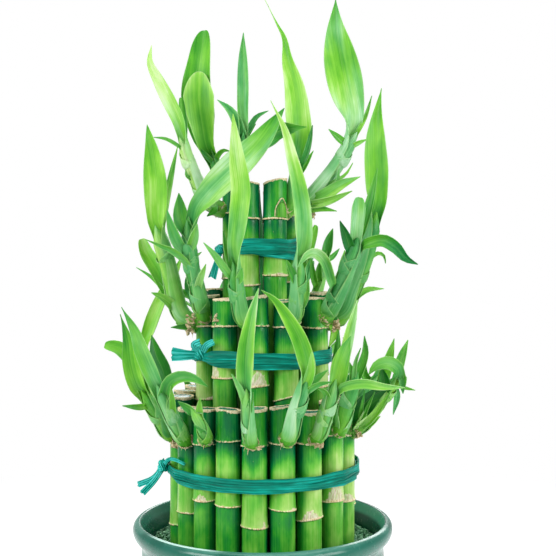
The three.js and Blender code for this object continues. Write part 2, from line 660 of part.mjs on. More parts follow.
// A whole shoot, as the solids of its stem and leaves. place turns a point of its table into a real one.
function shootSolids(shoot, root, place, facing) {
  const stemPoints = [root, ...shoot.stem.map(place)];
  const path = new THREE.CatmullRomCurve3(stemPoints, false, "centripetal");
  const [footRadius, endRadius] = shoot.radius;
  const solids = [solidOf(stemSkin(path, shoot.radius, facing, shoot.stem.length))];
  for (const [index, leaf] of shoot.leaves.entries()) {
    const foot = THREE.MathUtils.lerp(footRadius, endRadius, leaf.at);
    const start = path.getPointAt(Math.min(leaf.at, LAST_START));
    solids.push(solidOf(blade([start, ...leaf.path.map(place)], leaf, foot, facing, index)));
  }
  return solids;
}

// Every cane with its place and heights, by name.
function layOutCanes() {
  const canes = new Map();
  for (const [tier, { ring, shift, canes: rows }] of Object.entries(TIERS))
    rows.forEach(([degrees, top, nodes], i) => {
      const angle = THREE.MathUtils.degToRad(degrees);
      const name = `${tier}_${String(i + 1).padStart(2, "0")}`;
      const x = shift + ring * Math.sin(angle);
      const y = -ring * Math.cos(angle);
      canes.set(name, { tier, angle, top, nodes, x, y });
    });
  return canes;
}

// A cane: a straight stalk of tapering lengths that step out at each node, cut square at its top.
function caneSolid({ x, y, top, nodes }) {
  const profile = [[0, CANE_FOOT], [CANE_RADIUS, CANE_FOOT]];
  for (const node of [...nodes].reverse()) {
    profile.push([CANE_RADIUS, node - NODE_STEP]);
    profile.push([CANE_RADIUS + NODE_SWELL, node]);
  }
  profile.push([CANE_RADIUS, top], [0, top]);
  return solidOf(lathe(profile, CANE_SIDES).translate(x, y, 0));
}

// A body turned about the Z axis from [radius, height] pairs.
function lathe(profile, sides) {
  const points = profile.map(([radius, height]) => new THREE.Vector2(radius, height));
  return new THREE.LatheGeometry(points, sides).rotateX(Math.PI / 2);
}

// The pot's wall from its foot up the outside, over the rolled rim and down the inside to its floor.
function potProfile() {
  const inside = GRAVEL_OUTLINE.map(([radius, height]) => [radius + REST_GAP, height]);
  return [
    [0, 0], [FOOT_RADIUS, 0], [FOOT_RADIUS + 1.4, 1.6], [56.6, 40], [NECK_RADIUS, 58],
    [NECK_RADIUS + 0.5, 68], [NECK_RADIUS, 73], [61.4, 75.6], [63.6, 78.6], [RIM_RADIUS, 81.6],
    [63.8, 84], [61.9, POT_HEIGHT], [60, 84.2], [59, 81.4],
    ...inside.reverse(),
    [0, POT_FLOOR],
  ];
}

// The gravel fills the pot round the bundle of canes, which stand in one plain hole in it. Its top is uneven.
function gravelSolid(canes) {
  const crown = GRAVEL_CROWN.map((radius) => [radius, GRAVEL_TOP]);
  const rings = [[GRAVEL_OUTLINE[0][0], POT_FLOOR + REST_GAP], ...GRAVEL_OUTLINE.slice(1), ...crown].map(
    ([radius, height], level) => {
      const points = [];
      for (let j = 0; j < POT_SIDES; j++) {
        const angle = (j / POT_SIDES) * 2 * Math.PI;
        const bump = level >= GRAVEL_OUTLINE.length ? GRAVEL_BUMP * (random(level * POT_SIDES + j) - 0.5) : 0;
        points.push(new THREE.Vector3(radius * Math.sin(angle), -radius * Math.cos(angle), height + bump));
      }
      return points;
    },
  );
  const filling = solidOf(skin(rings));
  const depth = 2 * (GRAVEL_TOP - CANE_FOOT);
  const tool = (radius, x, y, sides) => {
    const rod = new THREE.CylinderGeometry(radius, radius, depth, sides).rotateX(Math.PI / 2);
    return solidOf(rod.translate(x, y, CANE_FOOT - REST_GAP + depth / 2));
  };
  const outer = [...canes.values()].filter(({ tier }) => tier === "lower");
  const clear = CANE_RADIUS + NODE_SWELL + REST_GAP;
  const round = outer.map(({ x, y }) => tool(clear, x, y, CANE_SIDES));
  return filling.subtract(joined([tool(TIERS.lower.ring, 0, 0, outer.length), ...round]));
}

// A raffia tie: a pleated band pulled round the outside of a tier, with its knot and cut tails.
const TIES = [
  {
    tier: "lower", height: 111, wide: [7.4, 7.4], knot: [-50, -8, 111], knotSize: [3.2, 3, 3],
    tails: [
      { wide: [2.2, 3], path: [[-50, -8, 110.5], [-55, -9, 105], [-62.5, -10, 101.8]] },
      { wide: [2.2, 3.2], path: [[-50, -8, 110], [-54.5, -10, 103.5], [-60.3, -12, 97.4]] },
    ],
  },
  {
    tier: "middle", height: 166.5, wide: [7.8, 7.8], knot: [-31, -13, 167.5], knotSize: [4, 3, 3.4],
    tails: [
      { wide: [3.4, 6.6], path: [[-32, -14, 166.5], [-39, -15, 166.5], [-45.6, -15, 167]] },
      { wide: [3, 3.6], path: [[-31, -15, 168], [-34.5, -17, 171.5], [-31.5, -18, 173]] },
      { wide: [3, 3], path: [[-30, -16, 168], [-28, -24, 171.5], [-25, -29, 173]] },
    ],
  },
  {
    tier: "top", height: 219.6, wide: [7.6, 11.4], knot: [-22.2, -6, 218.5], knotSize: [2.6, 2.8, 3],
    tails: [
      { wide: [2.2, 4], path: [[-22, -6, 217], [-23.6, -7, 211], [-25.4, -7, 205]] },
    ],
  },
];

// The point of the outside of a tier that lies furthest in a direction, and so touches the band.
function outermost(canes, direction, clear) {
  const reach = ({ x, y }) => x * direction.x + y * direction.y;
  const furthest = canes.reduce((best, cane) => (reach(cane) > reach(best) ? cane : best));
  return new THREE.Vector3(furthest.x, furthest.y, 0).addScaledVector(direction, clear);
}

function bandSolid(canes, { height, wide: [left, right] }) {
  const rings = [];
  for (let i = 0; i < RAFFIA_STEPS; i++) {
    const angle = (i / RAFFIA_STEPS) * 2 * Math.PI;
    const direction = new THREE.Vector3(Math.cos(angle), Math.sin(angle), 0);
    const half = THREE.MathUtils.lerp(left, right, (1 + direction.x) / 2) / 2;
    const inner = outermost(canes, direction, CANE_RADIUS + NODE_SWELL + REST_GAP);
    const section = [
      [0, -half], [RAFFIA_THICKNESS, -half * LOWER_RIDGE], [RAFFIA_THICKNESS - RAFFIA_PLEAT, 0],
      [RAFFIA_THICKNESS, half * UPPER_RIDGE], [0, half],
    ];
    rings.push(
      section.map(([out, up]) => inner.clone().addScaledVector(direction, out).setZ(height + up)),
    );
  }
  return solidOf(skin(rings, { hoop: true }));
}

// A cut tail: a flat strip that widens towards its end.
function tailSolid({ wide: [start, end], path }) {
  const curve = new THREE.CatmullRomCurve3(path.map(seen), false, "centripetal");
  const rings = [];
  for (let i = 0; i <= TAIL_STEPS; i++) {
    const t = i / TAIL_STEPS;
    const { side, out } = across(curve, t, FRONT);
    const half = THREE.MathUtils.lerp(start, end, t) / 2;
    const centre = curve.getPointAt(t);
    const corner = (u, v) => {
      const edge = centre.clone().addScaledVector(side, u * half);
      return edge.addScaledVector(out, (v * RAFFIA_THICKNESS) / 2);
    };
    rings.push([corner(-1, -1), corner(-1, 1), corner(0, TAIL_PLEAT), corner(1, 1), corner(1, -1)]);
  }
  return solidOf(skin(rings));
}

function knotSolid({ knot, knotSize }) {
  const lump = new THREE.IcosahedronGeometry(1, 1).scale(...knotSize);
  const { x, y, z } = seen(knot);
  return solidOf(lump.translate(x, y, z));
}

const GLAZE = new THREE.MeshStandardMaterial({ color: 0x1f5d50, roughness: 0.18, metalness: 0 });
const GRAVEL = new THREE.MeshStandardMaterial({ color: 0x5c8b74, roughness: 0.9, metalness: 0 });
const RAFFIA = new THREE.MeshStandardMaterial({ color: 0x159a8a, roughness: 0.5, metalness: 0 });
const STALK = new THREE.MeshStandardMaterial({ color: 0x58a832, roughness: 0.4, metalness: 0 });

const bamboo = new THREE.Group();

function add(name, geometry, material) {
  const mesh = new THREE.Mesh(geometry, material);
  mesh.name = name;
  bamboo.add(mesh);
}

const canes = layOutCanes();
const grown = new Map([...canes].map(([name, cane]) => [name, [caneSolid(cane)]]));

for (const shoot of SHOOTS) {
  const { x, y, nodes } = canes.get(shoot.cane);
  const root = new THREE.Vector3(x, y, nodes[0]);
  grown.get(shoot.cane).push(...shootSolids(shoot, root, seen, FRONT));
}

for (const [name, habit, mirror, scale] of BACK_SHOOTS) {
  const { x, y, angle, nodes } = canes.get(name);
  const root = new THREE.Vector3(x, y, nodes[0]);
  const out = new THREE.Vector3(Math.sin(angle), -Math.cos(angle), 0);
  const side = new THREE.Vector3(Math.cos(angle), Math.sin(angle), 0);
  const place = ([sideways, outwards, up]) => {
    const beside = root.clone().addScaledVector(side, sideways * mirror);
    return beside.addScaledVector(out, outwards).setZ(root.z + up * scale);
  };
  grown.get(name).push(...shootSolids(HABITS[habit], root, place, out));
}

add("pot", lathe(potProfile(), POT_SIDES), GLAZE);
add("gravel", geometryOf(gravelSolid(canes)), GRAVEL);
for (const [name, solids] of grown) add(`leafy_cane_${name}`, geometryOf(joined(solids)), STALK);
for (const tie of TIES) {
  const tied = [...canes.values()].filter(({ tier }) => tier === tie.tier);
  const solids = [bandSolid(tied, tie), knotSolid(tie), ...tie.tails.map(tailSolid)];
  add(`raffia_tie_${tie.tier}`, geometryOf(joined(solids)), RAFFIA);
}

export default bamboo;
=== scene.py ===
import math

import bmesh
import bpy
import numpy as np
from mathutils import Matrix, Vector


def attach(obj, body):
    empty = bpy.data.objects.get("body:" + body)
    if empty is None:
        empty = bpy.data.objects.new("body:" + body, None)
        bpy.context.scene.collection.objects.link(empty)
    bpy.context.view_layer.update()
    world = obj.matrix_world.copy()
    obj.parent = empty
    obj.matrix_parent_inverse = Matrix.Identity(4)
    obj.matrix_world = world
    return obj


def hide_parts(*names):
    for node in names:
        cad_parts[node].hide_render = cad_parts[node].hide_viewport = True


# A lucky bamboo tower: three tiers of cut canes with leafy shoots, raffia ties, gravel and a glazed pot
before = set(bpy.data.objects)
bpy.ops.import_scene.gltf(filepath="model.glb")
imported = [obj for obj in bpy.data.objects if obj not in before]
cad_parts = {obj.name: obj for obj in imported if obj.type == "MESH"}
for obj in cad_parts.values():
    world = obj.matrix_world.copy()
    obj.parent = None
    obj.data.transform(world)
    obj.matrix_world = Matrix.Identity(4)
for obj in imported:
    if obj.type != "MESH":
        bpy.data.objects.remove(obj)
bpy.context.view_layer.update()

# Sizes are millimetres up to the moment when a mesh is made, and the front of the plant is towards -Y.
MM = 0.001
TURN = 2 * math.pi
UP = np.array([0.0, 0.0, 1.0])
FRONT = np.array([0.0, -1.0, 0.0])
# How far apart, at most, two parts of a piece read the same noise
NOISE_ROOM = 400
# From this angle on, in radians, an edge is shown sharp
SHARP = math.radians(55)

# The camera, and with it the points of the front shoots: an eye in front of the plant, at this height
EYE_DISTANCE = 475
EYE_HEIGHT = 207
LENS = 61.5
SENSOR = 36
YAW_RIGHT = 0.905
PITCH_DOWN = 0.24

# The studio: how bright its white looks, how much of it lights the plant, and in metres where the floor
# turns into it and how far the floor reaches. A light has its place, its aim, its size in metres and its
# power in watts.
WHITE = 1.0
AMBIENT = 0.5
FLOOR_FADE = (0.12, 0.55)
FLOOR_REACH = 6
LIGHTS = {
    "key": [(-1.25, -0.85, 0.9), (0, 0, 0.2), (0.8, 0.8), 23],
    "fill": [(1.25, -0.8, 0.7), (0, 0, 0.18), (0.8, 0.8), 18],
    "top": [(0.1, 0.1, 1.5), (0, 0, 0.2), (1.2, 1.2), 12],
    "back": [(0.3, 1.3, 1.0), (0, 0, 0.2), (1.2, 0.8), 20],
}

# The pot, as outline points [radius, height] from its foot up and over the rim to the floor of its inside,
# and the steps of its rounded lengths. A painted highlight lies on the last points of the rim, centred in
# this direction and this wide, in radians.
POT_SIDES = 144
POT_FOOT = [[0.05, 1.2], [40, 1.2], [41.5, 0], [45, 0], [46.2, 0.5], [47.2, 2]]
POT_WALL = [[47.4, 3], [51.6, 20], [56.4, 40], [59.3, 55], [60.1, 63], [60.3, 68], [59.9, 72.6]]
POT_RIM = [
    [60.1, 73.8], [61.2, 75.6], [63, 77.6], [64.1, 79.8], [64.4, 81.8], [64, 83.6], [62.9, 84.9],
    [61.7, 85.4], [60.9, 85.35], [60.4, 84.7],
]
POT_LIP = [[60.1, 83.9], [59.3, 81.8], [58.4, 79.6], [57.7, 77.6], [57.2, 75.6]]
POT_INSIDE = [[56.9, 74], [55.3, 58], [52, 40], [47.4, 20]]
POT_FLOOR = [[43.5, 8.6], [42, 8], [0.05, 8]]
WALL_STEPS = 40
RIM_STEPS = 48
LIP_STEPS = 14
INSIDE_STEPS = 16
RIM_LIGHT = 4.05
RIM_LIGHT_WIDTH = 0.3
RIM_LIGHT_POINTS = 8

# The gravel: grains of these sizes, tried this many times, on a filling with this outline
FILLING = [
    [0.05, 9], [43, 9], [47, 20], [51.6, 40], [54.8, 58], [56, 72.5], [55, 73.4], [30, 73.8], [0.05, 73.8],
]
FILLING_SIDES = 64
GRAVEL_TOP = 75
GRAVEL_REACH = 56.2
GRAIN_SIZES = (0.7, 1.4)
GRAIN_TRIES = 9000
# Two grains are at least this share of their sizes apart, and each is cut flat this often, this far from
# its middle
GRAIN_SPACING = 0.62
GRAIN_CUTS = 7
GRAIN_CUT_SPOTS = (0.62, 0.85)

# The canes. They are darker for some mm below their upper and lower node and by this much, and they carry
# this much painted shade between each other and on the inside.
CANE_RADIUS = 5.85
CANE_FOOT = 22
CANE_SIDES = 32
NODE_SWELL = 0.45
CANE_TONE = 0.63
DARK_BELOW = (10, 7)
NODE_DARK = (0.44, 0.2)
CREVICE_SHADE = 0.24
INNER_SHADE = 0.5
# The tone that tells the cane's material to be sealing wax
WAX = -1
# The lid of a cut, ring by ring: its share of the radius, how far it stands above the cut, and how torn it is
LID = [
    (0.96, 0.08, 1), (0.88, 0.1, 1), (0.8, -0.05, 0.8), (0.72, -0.4, 0), (0.5, -0.35, 0), (0.25, -0.3, 0),
    (0.02, -0.3, 0),
]
# Heights of a cane's rings below its top, round its nodes, and the step between them elsewhere
TOP_STEPS = (0.25, 0.5, 0.8, 1.2, 1.8, 3)
NODE_STEPS = (-3, -1.8, -1.1, -0.7, -0.4, -0.2, 0, 0.2, 0.4, 0.7, 1.1, 1.6, 2.2, 3, 4, 5, 6, 7, 8, 9, 10, 12)
CANE_STEP = 5

# The sleeping bud: its cane, its turn from the front in degrees, its height and its size. Over it are two
# lines along one arch: how large each is, how far it stands off the cane, its radius, its tone and its
# scar.
BUD_CANE = "top_03"
BUD = (34, 234.4, 7.4)
BUD_ARCHES = ((1.0, 0.05, 0.32, 0.1, 1), (0.8, 0.1, 0.3, 0.25, 0))
BUD_ARCH = ((-1, 0), (-0.9, 0.55), (-0.5, 0.98), (0, 1.25), (0.5, 0.98), (0.9, 0.55), (1, 0))

# A shoot and its cane have one material each
SKIN_SLOT = 0
LEAF_SLOT = 1

# The stems of the shoots. A stem is fresh green at its foot and has its own looks after some mm, and its
# point is as long as its radius is wide, times this.
STEM_SIDES = 14
STEM_ROW = 0.8
STEM_POINT = 2.5
STEM_TONE = 0.58
STEM_COOL = 0.5
STEM_FOOT_TONE = 0.5
STEM_FOOT_COOL = 0.15
STEM_OWN = (8, 18)
# The collar round a stem's foot: two ragged rings at these lengths, with scales and rootlets on the second
COLLAR_REACHES = (6.2, 6.9)
COLLAR_SIDES = 44
COLLAR_SCALES = 9
ROOTLETS = 3
CRUMPLE_SCALES = 26
SPIKE_SIDES = 6
SPIKE_FACING = np.array([0.3, 0.2, 1.0])

# The leaves. A sheath is this long, or this share of the stem below its leaf where that is less. The main
# leaf is the widest that leaves after this share of the stem, and its sheath goes down to the collar, this
# far from the cane's axis. No leaf leaves after this share of the stem.
SHEATH = 8
SHEATH_SHARE = 0.8
SHEATH_ROW = 1.2
MAIN_START = 0.9
SHEATH_LOWEST = 7.5
LAST_START = 0.985
# A sheath lies this far off the stem, and each later one a layer further out, up to so many. It holds the
# stem with this half angle, in radians, at its foot and at its mouth, and a leaf that is less wide than this
# share of the stem slips out of it.
SHEATH_GAP = 0.2
SHEATH_LAYER = 0.09
SHEATH_LAYERS = 5
SHEATH_FOOT_ARC = 3.0
SHEATH_MOUTH_ARC = 2.0
SLIPPING = 0.9
# The blade: from which width on it is broad, its columns, half the angle that its section bends through, in
# radians, by which share of its length it has its own width and lies open, and how far its halves fold up,
# as a share of its half width
BROAD_LEAF = 6
BROAD_BLADE = dict(columns=15, arc=0.5, own_width=0.14, opened=0.3)
NARROW_BLADE = dict(columns=9, arc=0.85, own_width=0.3, opened=0.5)
BLADE_ROW = 2.2
BLADE_THICKNESS = 0.6
BLADE_CREASE = 0.1
# How far a leaf turns at its tip when its row doesn't say, and at its foot when it leans sideways, in degrees
LEAF_TURN = 26
LEAN_TURN = 60
LEAF_TONE = 0.56
LEAF_COOL = 0.35
# How much paler and cooler a leaf's underside is, and how much painted shade darkens it on a shoot at the
# back
UNDERSIDE_TONE = 0.06
UNDERSIDE_COOL = 0.25
BACK_SHADE = 0.12

# The raffia: the strands of a tie, how far they are from the canes, the even steps round the tie, and the
# directions in which the outermost cane is looked for; its loose strips and its knots with their tones, which
# are paler than the band's as a painted sheen
STRANDS = 4
STRAND_THICKNESS = 0.45
STRAND_COLUMNS = 17
BAND_GAP = 0.75
TIE_STEPS = 220
HULL_STEPS = 2400
STRIP_ROW = 0.6
STRIP_COLUMNS = 13
STRIP_FOLDS = 3
STRIP_FRAY = 0.8
LOOSE_SHEEN_TONE = 0.93
KNOT_SHEEN_TONE = 0.82
WRAP_STEPS = 36
WRAP_COLUMNS = 11
# The turns of a knot: the axis of each, and its radius and its width as shares of the knot's size
KNOT_TURNS = (([0, 0.3, 1], 0.72, 1.5), ([1, 0.2, 0.35], 0.85, 0.9), ([0.5, 0.1, 1], 0.6, 1.9),
              ([1, -0.3, -0.6], 0.66, 1.0))

# Each tier is a ring of canes. A cane is [angle from the front in degrees, cut height, heights of its nodes].
TIERS = {
    "lower": dict(ring=40.3, shift=0, canes=[
        [-84, 147, [128, 84]], [-60, 143, [125.7, 93.6]], [-41.5, 144.4, [127.7, 102]],
        [-23.3, 145, [130.8, 100.7]], [-5.5, 145.7, [128.6, 91.7]], [12.8, 146.6, [129.8, 99.4]],
        [32, 143.2, [128.9, 93.7]], [53.5, 147.2, [131, 100.2]], [75, 146.4, [129, 97]],
        [93.3, 151.5, [131, 92]], [111.5, 146, [128, 101]], [129.8, 148, [130, 95]],
        [148.1, 145, [127, 88]], [166.4, 147.5, [130, 98]], [184.6, 144, [126, 93]],
        [202.9, 148, [131, 102]], [221.2, 145.5, [128, 90]], [239.5, 149, [131, 96]],
        [257.7, 148, [129, 87]],
    ]),
    "middle": dict(ring=27.5, shift=0, canes=[
        [-90, 196.5, [181, 144.8]], [-41, 195.7, [182, 157.9]], [-7, 196.8, [182.8, 154]],
        [23.5, 194.8, [181.8, 148.6]], [70, 195.8, [181, 152]], [100, 198, [182, 156]],
        [128, 195, [180, 149]], [156, 197, [182, 154]], [184, 194, [179, 151]],
        [212, 196, [181, 156]], [241, 199.8, [183, 150]],
    ]),
    "top": dict(ring=13.5, shift=-0.8, canes=[
        [-90, 250, [237.5, 205]], [-30, 251.8, [234, 201.7]], [30, 252.6, [233.5, 206.5]],
        [90, 250.5, [236, 203]], [150, 249, [233, 207]], [210, 251, [235, 202]],
    ]),
}

# Torn rests of leaf sheath over a cane's lower node: (turn from the cane's front in degrees, half spread,
# height). The others are drawn between limits, for the upper and for the lower node.
FLAP_SPREADS = ((20, 60), (15, 50))
FLAP_RISES = ((0.6, 1.6), (1, 6))
FLAPS = {
    "lower_02": (35, 30, 1.2), "lower_03": (-20, 38, 3.4), "lower_04": (0, 20, 0.8),
    "lower_05": (42, 8, 3.6), "lower_06": (50, 22, 2), "lower_07": (5, 42, 5.5), "lower_08": (20, 48, 9),
    "lower_09": (20, 50, 4.5), "middle_01": (20, 40, 2), "middle_02": (-52, 26, 9.5),
    "middle_03": (8, 46, 8.5), "middle_04": (60, 50, 1.2), "top_02": (10, 50, 1), "top_03": (25, 60, 1.6),
}

# Canes that are darker or paler than the rest
SHADES = {
    "lower_03": -0.08, "lower_04": -0.02, "lower_05": 0.02, "lower_06": -0.06, "lower_07": 0.14,
    "lower_08": 0.17, "lower_09": 0.18, "middle_01": 0.18, "middle_02": 0.1, "middle_03": 0.04,
    "middle_04": 0.02, "middle_05": 0.2, "top_02": 0.05, "top_03": 0.03,
}

# Canes that were cut, or have a node, on a slant: (rise in mm, turn in degrees of the high side). Below is
# how far the others rise at the cut, and at the upper and the lower node.
TOP_SLANTS = {"top_03": (1.3, 70), "lower_06": (0.8, 60), "middle_03": (1, 80), "lower_04": (0.6, -80)}
NODE_SLANTS = {"middle_04": (2, 80), "middle_03": (0.8, 60), "lower_07": (0.9, 70)}
TOP_SLANT = 0.35
NODE_SLANT = (0.3, 0.35)


def leaf(at, wide, path, belly=0.4, taper=0.9, blunt=0, turn=None, tone=None, cool=LEAF_COOL, margin=0):
    """A leaf's row: at is the share of the stem where it leaves, wide its full width, and belly the share of
    its length where it is widest. taper is the power of its point, and blunt that of a rounded end. turn is
    how far it turns away from facing the front at its foot and tip, in degrees, and a leaf without one turns
    to one side. tone goes from dark 0 to pale 1, random when left out, and cool from yellow green 0 to blue
    green 1, as one number or a list from foot to tip. margin makes its edges paler."""
    return dict(at=at, wide=wide, path=path, belly=belly, taper=taper, blunt=blunt, turn=turn, tone=tone,
                cool=cool, margin=margin)
